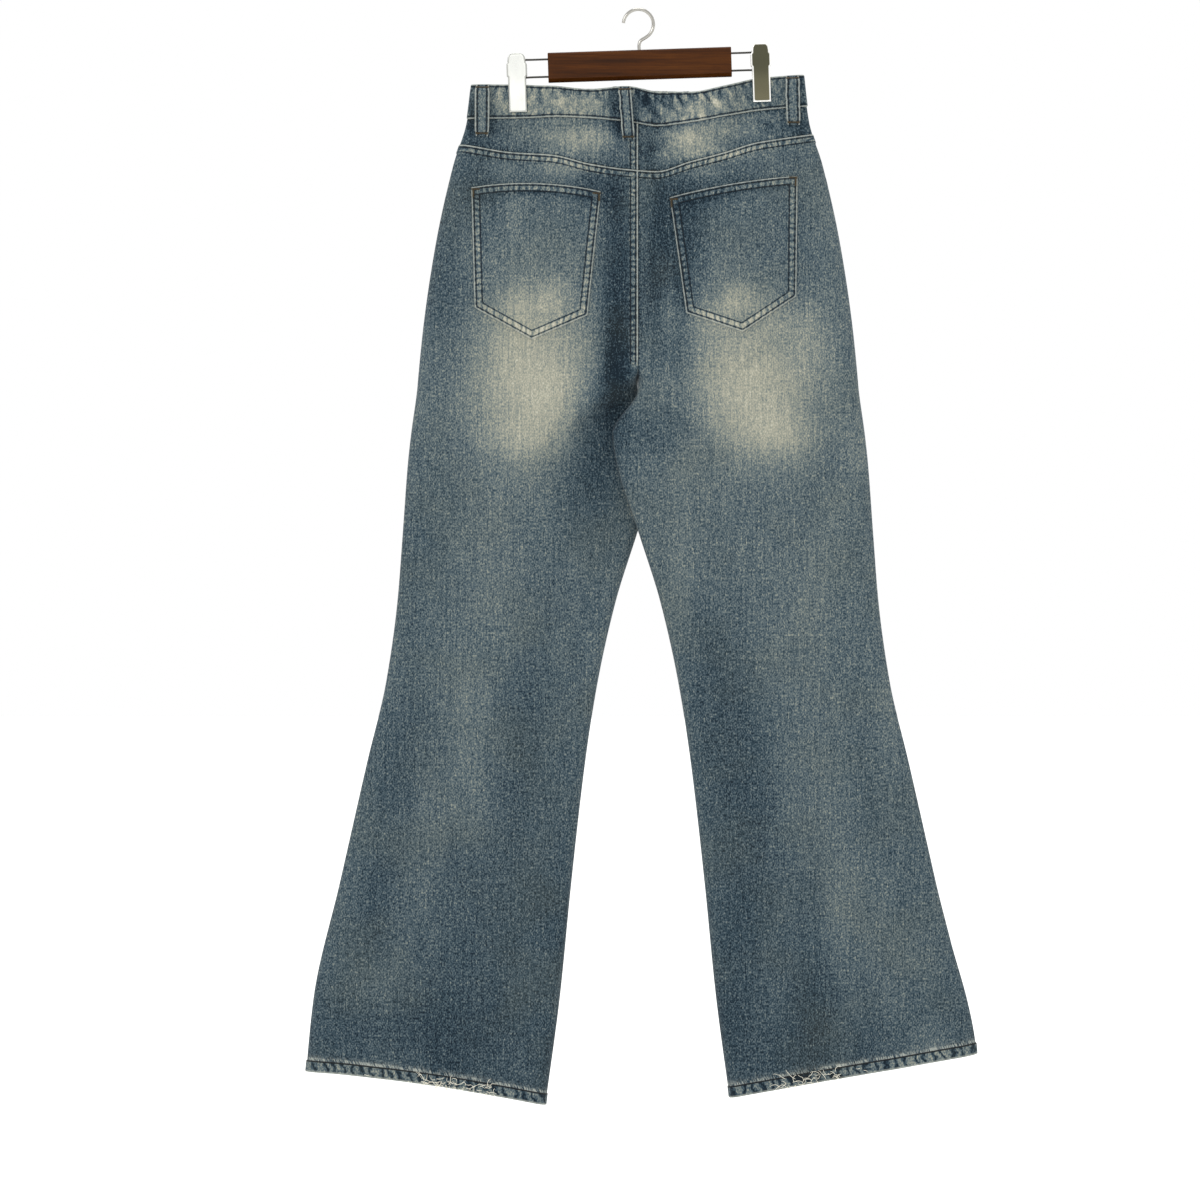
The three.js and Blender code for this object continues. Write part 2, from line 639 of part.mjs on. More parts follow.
// A belt loop, sewn down at both ends and arched over the waistband between them.
function beltLoop({ face, top, bottom }) {
  const rows = 12;
  const outer = [];
  const inner = [];
  for (let i = 0; i <= rows; i++) {
    const t = i / rows;
    const centre = lerp(top, bottom, t);
    const from = lines[face].top(centre) + LOOP.top;
    const to = lines[face].seam(centre) + LOOP.below;
    const drop = lerp(from, to, t);
    const onBand = 1 - smooth((drop - lines[face].seam(centre) + 1) / 6);
    const stand = smooth(t / LOOP.ramp) * smooth((1 - t) / LOOP.ramp);
    const lift = LOOP.seat + BAND_EXTRA * Math.max(onBand, stand) + LOOP.arch * stand;
    const row = [-1, 0, 1].map((share) => onCloth(face, centre + share * LOOP.half, drop, lift));
    const level = row[0].clone().lerp(row[2], 0.5);
    const bulge = Math.max(0, face * (row[1].y - level.y));
    row[1].y = level.y;
    for (const p of row) p.y += face * bulge;
    inner.push(row);
    outer.push(row.map((p) => p.clone().add(new THREE.Vector3(0, face * LOOP.wall, 0))));
  }
  return wallBetween(outer, inner);
}

// A shank button on the centre front of the band, facing +Y.
function button() {
  const { radius, cap, shank, stand } = BUTTON;
  const top = stand + cap;
  const profile = [
    [0, 0],
    [shank, 0],
    [shank, stand],
    [radius - 0.8, stand],
    [radius, stand + 0.7],
    [radius - 0.6, top - 0.5],
    [radius - 2, top],
    [radius - 3, top - 0.6],
    [0, top - 0.4],
  ].map(([r, h]) => new THREE.Vector2(r, h));
  return new THREE.LatheGeometry(profile, 24);
}

// Hanger pieces, upright
const SIDES = 8;

function circleShape(radius, sides = SIDES) {
  const shape = new THREE.Shape();
  for (let i = 0; i < sides; i++) {
    const angle = (i / sides) * 2 * Math.PI;
    const go = i ? "lineTo" : "moveTo";
    shape[go](radius * Math.cos(angle), radius * Math.sin(angle));
  }
  shape.closePath();
  return shape;
}

function rodAlong(points, radius, steps, sides = SIDES) {
  const path = new THREE.CatmullRomCurve3(points, false, "centripetal");
  return new THREE.ExtrudeGeometry(circleShape(radius, sides), { extrudePath: path, steps });
}

function hook() {
  const radius = HOOK.inner + HOOK.wire;
  const barTop = BAR.z + BAR.height / 2;
  const points = [
    new THREE.Vector3(0, 0, barTop - HOOK.into),
    new THREE.Vector3(0, 0, barTop),
    new THREE.Vector3(0, 0, barTop + 5),
    new THREE.Vector3(1.6, 0, barTop + 9.5),
  ];
  const start = -62;
  const turns = 16;
  for (let i = 0; i <= turns; i++) {
    const angle = ((start + (HOOK.sweep * i) / turns) * Math.PI) / 180;
    points.push(
      new THREE.Vector3(radius * Math.cos(angle), 0, -HOOK.inner + radius * Math.sin(angle)),
    );
  }
  return rodAlong(points, HOOK.wire, 32);
}

function solidOf(geometry) {
  const plain = geometry.clone();
  plain.deleteAttribute("normal");
  plain.deleteAttribute("uv");
  const merged = mergeVertices(plain, 1e-4);
  return new wasm.Manifold(
    new wasm.Mesh({
      numProp: 3,
      vertProperties: merged.attributes.position.array,
      triVerts: new Uint32Array(merged.index.array),
    }),
  );
}

function geometryOf(solid) {
  const mesh = solid.getMesh();
  const geometry = new THREE.BufferGeometry();
  geometry.setAttribute("position", new THREE.BufferAttribute(mesh.vertProperties, 3));
  geometry.setIndex(new THREE.BufferAttribute(mesh.triVerts, 1));
  geometry.computeVertexNormals();
  return geometry;
}

// The wooden bar, bored for the hook's stem and for the four ends of the two wire rails.
function bar() {
  const { length, height, depth, z, bevel, underBevel } = BAR;
  const shape = new THREE.Shape();
  const y = depth / 2;
  const h = height / 2;
  shape.moveTo(-y + underBevel, -h);
  shape.lineTo(y - underBevel, -h);
  shape.lineTo(y, -h + underBevel);
  shape.lineTo(y, h - bevel);
  shape.lineTo(y - bevel, h);
  shape.lineTo(-y + bevel, h);
  shape.lineTo(-y, h - bevel);
  shape.lineTo(-y, -h + underBevel);
  shape.closePath();
  const stick = new THREE.ExtrudeGeometry(shape, { depth: length, bevelEnabled: false, steps: 1 });
  stick.translate(0, 0, -length / 2);
  stick.rotateZ(Math.PI / 2);
  stick.rotateY(Math.PI / 2);
  stick.translate(0, 0, z);
  let solid = solidOf(stick);
  for (const side of [LEFT, RIGHT]) {
    for (const up of [-1, 1]) {
      const hole = new THREE.CylinderGeometry(
        RAIL.wire + RAIL.clear,
        RAIL.wire + RAIL.clear,
        2 * (RAIL.into + RAIL.clear),
        SIDES,
      );
      hole.rotateZ(Math.PI / 2);
      hole.translate((side * length) / 2, 0, z + (up * RAIL.apart) / 2);
      solid = solid.subtract(solidOf(hole));
    }
  }
  const stemRadius = HOOK.wire + RAIL.clear;
  const stem = new THREE.CylinderGeometry(stemRadius, stemRadius, 2 * (HOOK.into + 0.3), SIDES);
  stem.rotateX(Math.PI / 2);
  stem.translate(0, 0, z + h);
  return geometryOf(solid.subtract(solidOf(stem)));
}

// One wire rail: out of the bar, round its end past the clip, and back into the bar.
function rail(side) {
  const from = BAR.length / 2 - RAIL.into;
  const bend = RAIL.apart / 2;
  const end = Math.abs(CLIP.x[side]) + RAIL.past - bend - RAIL.wire;
  const points = [];
  for (const x of [from, BAR.length / 2, lerp(BAR.length / 2, end, 0.5), end]) {
    points.push(new THREE.Vector3(side * x, 0, BAR.z + bend));
  }
  for (const degrees of [60, 30, 0, -30, -60]) {
    const angle = (degrees * Math.PI) / 180;
    points.push(
      new THREE.Vector3(side * (end + bend * Math.cos(angle)), 0, BAR.z + bend * Math.sin(angle)),
    );
  }
  for (const x of [end, lerp(BAR.length / 2, end, 0.5), BAR.length / 2, from]) {
    points.push(new THREE.Vector3(side * x, 0, BAR.z - bend));
  }
  return rodAlong(points, RAIL.wire, 22, 6);
}

// One jaw of a clip: a plate with a round top that closes towards the waistband.
function jaw(side, face) {
  const start = -RAIL.apart / 2;
  const lip = -CLIP.below + 14;
  const gapAt = (up) => lerp(CLIP.gapTop, CLIP.gapBottom, smooth((start - up) / (start - lip)));
  const grid = (extra) =>
    JAW.map(({ up, share }) =>
      [-1, -0.5, 0, 0.5, 1].map((p) => {
        const x = CLIP.x[side] + p * share * CLIP.half;
        return new THREE.Vector3(x, face * (gapAt(up) + extra), CLIP.z[side] + up);
      }),
    );
  return wallBetween(grid(CLIP.wall), grid(0));
}

// What the two jaws turn on: a spring block held between the rail's two wires.
function clipCore(side) {
  const depth = CLIP.gapTop - LAY_GAP;
  const shape = new THREE.Shape();
  shape.moveTo(-depth + 2, -CORE.tall);
  shape.lineTo(depth - 2, -CORE.tall);
  shape.lineTo(depth, -CORE.tall + 2);
  shape.lineTo(depth, CORE.tall - 2);
  shape.lineTo(depth - 2, CORE.tall);
  shape.lineTo(-depth + 2, CORE.tall);
  shape.lineTo(-depth, CORE.tall - 2);
  shape.lineTo(-depth, -CORE.tall + 2);
  shape.closePath();
  const block = new THREE.ExtrudeGeometry(shape, { depth: 2 * CORE.half, bevelEnabled: false });
  block.translate(0, 0, -CORE.half);
  block.rotateZ(Math.PI / 2);
  block.rotateY(Math.PI / 2);
  block.translate(CLIP.x[side], 0, CLIP.z[side]);
  return block;
}

const materials = {
  denim: new THREE.MeshStandardMaterial({ color: 0x5d6f7c, roughness: 0.95 }),
  metal: new THREE.MeshStandardMaterial({ color: 0xb9b7ad, roughness: 0.3, metalness: 1 }),
  wood: new THREE.MeshStandardMaterial({ color: 0x52301a, roughness: 0.45 }),
  zip: new THREE.MeshStandardMaterial({ color: 0x3c4650, roughness: 0.9 }),
};

function named(name, geometry, material) {
  const mesh = new THREE.Mesh(geometry, materials[material]);
  mesh.name = name;
  return mesh;
}

const jeans = new THREE.Group();
for (const [side, word] of [
  [LEFT, "left"],
  [RIGHT, "right"],
]) {
  jeans.add(named(`back_panel_${word}`, legPanel(side, BACK), "denim"));
  jeans.add(named(`front_panel_${word}`, legPanel(side, FRONT), "denim"));
  jeans.add(named(`yoke_${word}`, yoke(side), "denim"));
  jeans.add(named(`waistband_${word}`, waistband(side), "denim"));
  jeans.add(named(`back_pocket_${word}`, backPocket(side), "denim"));
  jeans.add(named(`front_pocket_facing_${word}`, pocketFacing(side), "denim"));
}
for (const loop of LOOPS) jeans.add(named(loop.name, beltLoop(loop), "denim"));
jeans.add(named("zip_tape", zipTape(), "zip"));
jeans.add(named("zip_slider", zipSlider(), "metal"));

const buttonDrop = (lines[FRONT].top(0) + lines[FRONT].seam(0)) / 2;
const waistButton = named("waist_button", button(), "metal");
waistButton.position.copy(onCloth(FRONT, 0, buttonDrop, BAND_EXTRA + 3 * LAY_GAP));
jeans.add(waistButton);

const hanger = new THREE.Group();
hanger.rotation.y = TILT;
hanger.add(named("hanger_hook", hook(), "metal"));
hanger.add(named("hanger_bar", bar(), "wood"));
for (const [side, word] of [
  [LEFT, "left"],
  [RIGHT, "right"],
]) {
  hanger.add(named(`hanger_rail_${word}`, rail(side), "metal"));
  hanger.add(named(`clip_${word}_back_jaw`, jaw(side, BACK), "metal"));
  hanger.add(named(`clip_${word}_front_jaw`, jaw(side, FRONT), "metal"));
  hanger.add(named(`clip_${word}_core`, clipCore(side), "metal"));
}

const part = new THREE.Group();
part.add(jeans, hanger);

export default part;
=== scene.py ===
import math

import bpy
import numpy as np
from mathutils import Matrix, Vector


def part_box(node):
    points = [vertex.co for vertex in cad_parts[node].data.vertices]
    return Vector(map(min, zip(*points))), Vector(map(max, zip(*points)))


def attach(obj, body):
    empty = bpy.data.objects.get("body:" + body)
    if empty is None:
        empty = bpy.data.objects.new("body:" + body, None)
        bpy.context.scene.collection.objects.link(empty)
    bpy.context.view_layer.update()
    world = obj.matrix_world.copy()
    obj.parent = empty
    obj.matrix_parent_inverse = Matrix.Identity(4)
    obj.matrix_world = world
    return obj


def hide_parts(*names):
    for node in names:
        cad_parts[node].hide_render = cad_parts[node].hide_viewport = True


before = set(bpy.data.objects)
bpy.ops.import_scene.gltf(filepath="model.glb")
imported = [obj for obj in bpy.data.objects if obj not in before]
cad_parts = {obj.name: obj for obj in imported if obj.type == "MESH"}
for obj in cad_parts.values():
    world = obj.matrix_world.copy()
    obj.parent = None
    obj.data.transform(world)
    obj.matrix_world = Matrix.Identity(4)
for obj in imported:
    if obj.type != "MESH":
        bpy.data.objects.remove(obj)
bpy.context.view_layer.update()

rng = np.random.default_rng(7)

LEFT, RIGHT = -1, 1
BACK, FRONT = -1, 1
WORD = {LEFT: "left", RIGHT: "right"}
PLACE = {BACK: "back", FRONT: "front"}

WAIST_Z = -76.5
CROTCH = 308
WALL = 1.5
BAND_EXTRA = 1.0  # how far the folded waistband stands proud of the yoke
HALF_GAP = 0.2  # half the gap between neighbouring pieces
FAR = 99.0  # a distance from an edge, where a piece has no such edge
HEM_HEIGHT = 12
HEM_EXTRA = 0.9
HEM_ROW = 11.5  # the hem's stitches lie this far above the foot
FELL_WIDTH = 9  # felled seams at the yoke and the seat, and the hem of a pocket's mouth
FELL_EXTRA = 0.8
FLY = {"wide": 31, "long": 195, "bend": 166, "lap": 9}
POCKET_LIFT = 0.6


def table(columns, rows):
    """A dict of arrays, one for each named column."""
    return dict(zip(columns.split(), np.array(rows, float).T))


def tables(columns, back, front):
    """A table for each face."""
    return {BACK: table(columns, back), FRONT: table(columns, front)}


def rows_of(columns):
    """The rows of a table, each a dict."""
    return [dict(zip(columns, row)) for row in zip(*columns.values())]


# Half the outline of the flat garment, as in the solids
SECTIONS = table("drop outer inner depth", [
    (-12, 173.5, 0.2, 14), (40, 180, 0.2, 14), (85, 194, 0.2, 14), (165, 212, 0.2, 15),
    (250, 225, 0.2, 16), (308, 231, 0.2, 16), (320, 232, 0.3, 16), (368, 238.5, -27, 15),
    (400, 242, -22.5, 14.5), (475, 247.5, 1.5, 13), (545, 253, 23.5, 12), (630, 265, 42.5, 11),
    (710, 284, 55, 11), (840, 313.5, 70, 12), (960, 341, 82, 13.5), (1072, 352, 97, 15),
])
KICK = {"from": 900, "over": 120, "out": 9}  # the right leg flares this much further
HEMS = {
    LEFT: {"outer": 1038.5, "inner": 1073.5, "bend": 1.4},
    RIGHT: {"outer": 1020, "inner": 1066, "bend": 1},
}
BACK_LINES = table("x top seam yoke", [
    (-182, 1, 37.5, 64.5), (-130, 1, 37, 73), (-90, 3, 36, 75.5), (-50, 6.5, 37.5, 85),
    (-12, 3.5, 41, 90.5), (20, 9, 45.5, 92.5), (55, 9.5, 42, 82.5), (90, 3, 35.5, 73),
    (125, -5.5, 29, 62.5), (182, -10, 24, 53.5),
])
FRONT_LINES = table("x top seam", [
    (-182, 1, 37.5), (-130, 2.5, 38.5), (-60, 11, 47), (0, 15, 51), (60, 9, 45), (125, -4, 31.5),
    (182, -10, 24),
])
ROUND = {"outer": 20, "waist": 26, "inner": 12}
PART = {"y": 11, "rise": 12, "depth": 9, "near": 26, "far": 110, "over": 110, "from": 475, "to": 640}
CLIPS = {LEFT: -126, RIGHT: 130.5}
NIP = {"depth": 3.1, "core": 16, "fade": 26, "full": 30, "gone": 88}
BEYOND = {"depth": 7.5, "from": 122, "over": 28, "gone": 120}

# The largest folds, as in the solids, then the finer creases. Ridges are above zero, and bow is how
# far the middle of a crease lies off the straight line between its ends. The back's come first.
FOLD = "x0 d0 x1 d1 wide high bow"
FOLDS = tables(FOLD, [
    (-95, 215, -95, 330, 62, 5.5, 0), (98, 215, 98, 330, 62, 5.5, 0), (-26, 125, -30, 300, 16, -3.5, 0),
    (20, 20, 18, 215, 15, -3, 0), (62, 30, 52, 120, 26, 2.5, 0), (-150, 420, -165, 760, 30, 2, 0),
    (150, 420, 170, 800, 30, 2, 0), (-250, 860, -285, 1080, 20, 3, 0), (-190, 820, -205, 1090, 24, -3, 0),
    (175, 850, 190, 1090, 24, -3, 0), (245, 830, 280, 1080, 22, 3, 0),
], [
    (-105, 120, -120, 330, 55, 3, 0), (105, 120, 120, 330, 55, 3, 0), (-60, 300, -110, 380, 20, -2.5, 0),
    (60, 300, 110, 380, 20, -2.5, 0), (-180, 640, -215, 1080, 26, 3, 0), (180, 640, 215, 1080, 26, 3, 0),
    (-240, 860, -270, 1090, 22, -3, 0), (240, 860, 275, 1090, 22, -3, 0),
])
CREASES = tables(FOLD, [
    (10, 6, 30, 84, 6, -1.5, 3), (26, 10, 48, 44, 5, -1.1, -2), (44, 12, 66, 40, 5, -1.2, 2),
    (70, 8, 92, 30, 5, -1.0, -2), (60, 14, 50, 70, 8, 1.3, 3), (-40, 12, -60, 32, 6, -0.7, 2),
    (-24, 14, -30, 72, 7, -0.9, -2), (14, 122, 20, 300, 11, -2.4, 3), (36, 212, 4, 312, 9, 2.0, -4),
    (-17, 228, -32, 364, 9, -2.2, -3), (-44, 120, -38, 250, 14, 1.2, 2), (-77, 318, -104, 388, 6, -1.9, 9),
    (-84, 322, -112, 390, 7, 1.1, 9), (-120, 279, -68, 277, 5, -1.0, -4), (-96, 296, -40, 300, 6, -0.9, 3),
    (106, 308, 148, 270, 5, -1.6, 2), (112, 316, 154, 280, 7, 0.9, 2), (6, 316, 88, 336, 7, -1.3, -5),
    (4, 330, 62, 372, 8, -1.6, 4), (10, 352, 74, 398, 9, 1.2, 4), (-12, 330, -70, 372, 8, -1.4, -4),
    (-16, 366, -60, 420, 9, -1.2, 3), (-228, 402, -176, 566, 13, 1.2, 5), (-210, 470, -150, 640, 15, -1.2, 6),
    (222, 416, 168, 586, 13, 1.2, -5), (60, 470, 96, 600, 12, 1.1, 5), (-46, 470, -84, 610, 12, 1.2, -5),
    (-120, 600, -128, 800, 17, -1.3, 4), (118, 600, 126, 820, 17, -1.3, -4),
    (230, 620, 262, 830, 18, -1.2, 4), (-226, 640, -252, 840, 18, -1.2, -3),
    (-222, 1020, -170, 1037, 6, -1.6, -3), (-190, 1006, -128, 1030, 8, -1.1, 4),
    (-150, 1020, -100, 1050, 7, 1.1, -3), (88, 1024, 168, 1016, 7, -1.5, -6),
    (104, 1008, 190, 992, 9, -1.0, 5), (96, 1036, 150, 1034, 6, 1.0, 3), (246, 1002, 330, 990, 9, -0.9, 4),
], [
    (-12, 210, -104, 168, 8, -1.9, 6), (-14, 240, -124, 214, 9, -1.7, 7), (-12, 272, -112, 262, 9, -1.5, 6),
    (-16, 300, -96, 322, 9, -1.3, -4), (12, 204, 96, 160, 8, -1.8, -6), (14, 236, 128, 206, 9, -1.8, -7),
    (12, 268, 106, 256, 8, -1.4, -5), (18, 298, 102, 326, 10, -1.4, 4), (-190, 560, -96, 584, 11, -1.4, -6),
    (-206, 606, -84, 622, 12, 1.3, 6), (-196, 650, -92, 640, 11, -1.3, 5), (188, 566, 92, 578, 11, -1.3, 6),
    (208, 612, 88, 630, 12, 1.3, -6), (200, 660, 96, 648, 11, -1.2, -5), (-236, 820, -130, 850, 14, -1.1, 6),
    (240, 836, 128, 862, 14, -1.1, -6), (-230, 1010, -150, 1030, 8, -1.3, 4),
    (226, 1004, 150, 1022, 8, -1.2, -4),
])

# Patch pockets on the seat: corners as x and drop, and how far the mouth arches up
POCKETS = {
    LEFT: {"top_outer": (-175, 110), "top_inner": (-39, 114), "bottom_inner": (-53, 244.5),
           "tip": (-111.5, 270), "bottom_outer": (-171.5, 236.5), "crown": 6.5},
    RIGHT: {"top_outer": (167.5, 98), "top_inner": (33.5, 120.5), "bottom_inner": (50.5, 242),
            "tip": (110, 262), "bottom_outer": (166, 224.5), "crown": 3.5},
}
SCOOP = {"wide": 102, "deep": 74}
FACING = {"under": 16, "wide": 120, "behind": 2.1}
ZIP = {"half": 12, "bottom": 185, "channel": 3.8, "bed": 5, "shoulder": 9}
LOOP = {"half": 6.2, "wall": 1.4, "seat": 0.9, "arch": 4.8, "top": 0.8, "below": 18.5, "ramp": 0.13}
LOOPS = [("back_centre", BACK, -14, -10), ("back_left", BACK, -163, -164), ("back_right", BACK, 162, 163.5),
         ("front_left", FRONT, -74, -74), ("front_right", FRONT, 76, 76)]

TILT = math.radians(-1.9)
HOOK = {"wire": 1.8, "inner": 14, "sweep": 235, "into": 12}
BAR = {"length": 193, "height": 31.3, "depth": 12.5, "z": -56.8, "bevel": 1.4, "under_bevel": 4}
RAIL = {"wire": 1.1, "apart": 18.4, "into": 15, "past": 9.9}
CLIP = {"x": {LEFT: -129.4, RIGHT: 127.3}, "z": {LEFT: -57.6, RIGHT: -55.3}, "half": 9.5, "below": 45,
        "wall": 1.2, "gap_top": 5.6, "gap_bottom": 4.8}
JAW = table("up share", [(17, 0.36), (16.4, 0.6), (15.4, 0.76), (14.1, 0.88), (12.6, 0.95), (9, 1), (7, 1),
                         (5.5, 1.13), (-6, 1.13), (-7.5, 1), (-31, 1), (-45, 1)])

# How worn the denim is: 0 is deep indigo and 1 is cream. First by drop, then spots on
# the back and on the front. The two of tone -1.4 are worn holes. Some dark spots on the back are
# painted shade: those beside and below the belt loops, one at the right pocket's tip, and those in the
# valleys beside the seat seam and at the crotch, which are partly less faded cloth and partly painted shade.
WEAR = table("drop tone", [
    (-15, 0.56), (38, 0.58), (44, 0.45), (90, 0.43), (200, 0.44), (300, 0.5), (400, 0.47), (500, 0.46),
    (650, 0.44), (800, 0.41), (950, 0.37), (1030, 0.29), (1075, 0.24),
])
FADE_AND_SHADE_SPOTS = tables("x drop wide tall tone", [
    (-104, 16, 46, 13, 0.18), (-52, 26, 22, 12, 0.1), (6, 14, 9, 16, -0.26), (-27, 20, 8, 16, -0.15),
    (60, 24, 40, 15, 0.18), (74, 12, 22, 10, -0.08), (171, 5, 8, 22, -0.3), (-174, 18, 5, 22, -0.2),
    # Painted shadow beside and below the belt loops: (-20, 38), (-3, 36) and (172, 40) just below, and (-175,
    # 40), (-155, 40) and (153, 30) on the line after.
    (141, 14, 12, 17, -0.18), (-20, 38, 7, 26, -0.42), (-3, 36, 4, 26, -0.2), (172, 40, 12, 16, -0.25),
    (-175, 40, 9, 20, -0.34), (-155, 40, 4, 24, -0.15), (153, 30, 4, 24, -0.15), (-52, 59, 36, 13, 0.3),
    (-96, 50, 34, 9, 0.12), (52, 60, 30, 12, 0.36), (88, 48, 30, 9, 0.2), (13, 72, 11, 16, -0.2),
    (-158, 52, 22, 14, -0.1), (148, 42, 24, 12, -0.08), (84, 74, 50, 8, 0.22), (36, 78, 26, 8, 0.14),
    (44, 42, 16, 10, 0.12), (-82, 76, 20, 7, 0.1), (-148, 76, 22, 10, -0.12), (-78, 90, 28, 8, 0.2),
    (70, 94, 20, 6, 0.1), (-168, 108, 22, 28, -0.15), (-52, 110, 14, 18, -0.2), (44, 122, 12, 14, -0.1),
    (46, 152, 26, 62, -0.27), (74, 118, 30, 15, -0.12), (108, 104, 26, 9, -0.1), (-25, 114, 13, 26, -0.2),
    (20, 112, 10, 20, -0.1), (-205, 190, 24, 120, -0.1), (-130, 142, 9, 30, 0.1), (118, 246, 46, 18, 0.1),
    (-113, 318, 62, 82, 0.37), (-126, 250, 34, 28, 0.1), (-118, 228, 24, 20, 0.12), (-86, 222, 16, 22, 0.16),
    (126, 322, 64, 76, 0.35), (76, 250, 22, 24, 0.08), (172, 252, 22, 30, 0.07), (100, 232, 18, 20, 0.14),
    # Painted shadow round the right pocket's tip: (107, 250) just below.
    (107, 250, 22, 12, -0.12), (44, 256, 16, 60, -0.07), (186, 270, 24, 40, 0.08), (42, 214, 15, 26, -0.14),
    # Partly less faded cloth and partly painted shade in the valleys beside the seat seam and at the crotch:
    # (-21, 240) and (-27, 328) just below, and (-19, 288) and (12, 252) on the line after.
    (148, 376, 30, 26, 0.12), (80, 386, 24, 20, -0.07), (-21, 240, 19, 112, -0.26), (-27, 328, 18, 38, -0.26),
    (-19, 288, 13, 42, -0.14), (-52, 356, 20, 46, -0.2), (12, 252, 14, 66, -0.14), (44, 290, 16, 36, -0.08),
    (22, 180, 11, 90, -0.08), (31, 232, 9, 40, 0.09), (24, 366, 42, 26, -0.16), (-40, 400, 30, 40, -0.12),
    (46, 480, 16, 110, 0.08), (-150, 560, 28, 90, 0.05), (-178, 690, 18, 110, 0.07),
    (-140, 700, 26, 110, -0.06), (-92, 700, 46, 190, -0.06), (-262, 720, 22, 60, -0.08),
    (-272, 862, 22, 70, -0.11), (-140, 880, 50, 90, -0.08), (-216, 800, 18, 90, 0.05),
    (212, 850, 20, 120, 0.1), (78, 640, 30, 110, -0.14), (118, 760, 36, 130, -0.1),
    (104, 910, 40, 110, -0.08), (190, 960, 26, 44, -0.1), (-84, 960, 20, 120, -0.08),
    (-240, 520, 16, 160, -0.06), (262, 700, 16, 200, 0.06), (190, 640, 22, 110, 0.04),
    (300, 930, 24, 80, 0.05), (204, 165, 22, 70, 0.06), (-76, 32, 32, 8, 0.15), (-82, 68, 22, 15, 0.09),
    (-146, 88, 18, 12, 0.1), (138, 61, 16, 12, 0.08), (130, 180, 40, 36, -0.06), (107, 221, 22, 12, 0.11),
    (-132, 374, 38, 20, 0.1), (152, 368, 44, 22, 0.08), (-212, 445, 22, 50, -0.07), (-82, 412, 22, 30, -0.07),
    (-19, 250, 14, 110, -0.06), (-176, 980, 60, 40, -0.06), (-50, 450, 34, 52, -0.12),
    (230, 386, 16, 32, 0.1), (-255, 986, 54, 28, -0.1), (310, 1002, 24, 22, 0.12), (90, 985, 24, 30, -0.07),
    (-192, 1064, 46, 10, 0.16), (170, 1044, 10, 3.6, -1.4), (208, 1043, 6.5, 2.4, -1.4),
], [
    (-128, 330, 58, 120, 0.42), (130, 322, 58, 120, 0.42), (-150, 610, 46, 80, 0.26),
    (150, 616, 46, 80, 0.26), (-20, 240, 22, 90, -0.2), (22, 240, 20, 90, -0.2), (-60, 24, 60, 14, 0.12),
    (70, 20, 60, 14, 0.12), (-26, 345, 20, 50, -0.26), (-206, 700, 20, 240, -0.08),
    (214, 700, 20, 240, -0.08), (-170, 880, 26, 120, 0.08),
])
# Where small crumples lie: face, x from and to, drop from and to, how many, slant in degrees, length
# and height
CRUMPLED = [
    (BACK, -168, -16, 6, 13, 40, 84, 11, 0.6), (BACK, -150, -20, 16, 32, 26, 50, 15, 0.45),
    (BACK, 2, 110, 12, 18, 28, 70, 11, 0.6), (BACK, 2, 108, 12, 34, 46, 48, 18, 0.7),
    (BACK, 108, 170, 0, 20, 20, 60, 13, 0.55), (BACK, -150, -18, 44, 52, 18, 75, 10, 0.35),
    (BACK, 6, 150, 40, 54, 20, 50, 13, 0.4), (BACK, 4, 60, 52, 86, 10, 40, 18, 0.45),
    (FRONT, -168, -12, 14, 20, 30, 84, 9, 0.5), (FRONT, 12, 168, 10, 18, 30, 84, 9, 0.5),
    (FRONT, -160, -20, 22, 44, 22, 50, 14, 0.4), (FRONT, 20, 160, 18, 40, 22, 130, 14, 0.4),
]
# These two make ridges of crumples, creases and folds lighter and their troughs darker: partly worn ridges,
# partly painted light on the ridges and painted shade in the troughs.
CRUMPLE_WEAR_AND_SHADE = 0.24
CREASE_WEAR_AND_SHADE = 0.035  # tone for each millimetre that a crease stands up


def mix(a, b, t):
    return a + (b - a) * t


def smooth(v):
    t = np.clip(v, 0, 1)
    return t * t * (3 - 2 * t)


def quarter_round(v):
    return np.sqrt(1 - (1 - np.clip(v, 0, 1)) ** 2)


def hermite(xs, ys, slopes, x):
    """The curve that has a slope at each of its points, read at x."""
    at = np.clip(np.searchsorted(xs, x, side="right") - 1, 0, len(xs) - 2)
    h = xs[at + 1] - xs[at]
    t = np.clip((x - xs[at]) / h, 0, 1)
    rise = ys[at] * (2 * t**3 - 3 * t**2 + 1) + ys[at + 1] * (3 * t**2 - 2 * t**3)
    return rise + h * (slopes[at] * (t**3 - 2 * t**2 + t) + slopes[at + 1] * (t**3 - t**2))


def curve_through(xs, ys):
    """A smooth curve through a table's points, without overshoot."""
    slopes = np.diff(ys) / np.diff(xs)
    product = slopes[:-1] * slopes[1:]
    total = np.where(product > 0, slopes[:-1] + slopes[1:], 1)
    middle = np.where(product > 0, 2 * product / total, 0)
    tangents = np.concatenate([slopes[:1], middle, slopes[-1:]])
    return lambda x: hermite(xs, ys, tangents, x)


outer_curve = curve_through(SECTIONS["drop"], SECTIONS["outer"])
inner_curve = curve_through(SECTIONS["drop"], SECTIONS["inner"])
depth_curve = curve_through(SECTIONS["drop"], SECTIONS["depth"])
wear_curve = curve_through(WEAR["drop"], WEAR["tone"])
LINES = {face: {key: curve_through(lines["x"], lines[key]) for key in lines if key != "x"}
         for face, lines in ((BACK, BACK_LINES), (FRONT, FRONT_LINES))}


def outer_edge(side, drop):
    kick = KICK["out"] * smooth((drop - KICK["from"]) / KICK["over"])
    return outer_curve(drop) + np.where(np.asarray(side) > 0, kick, 0)


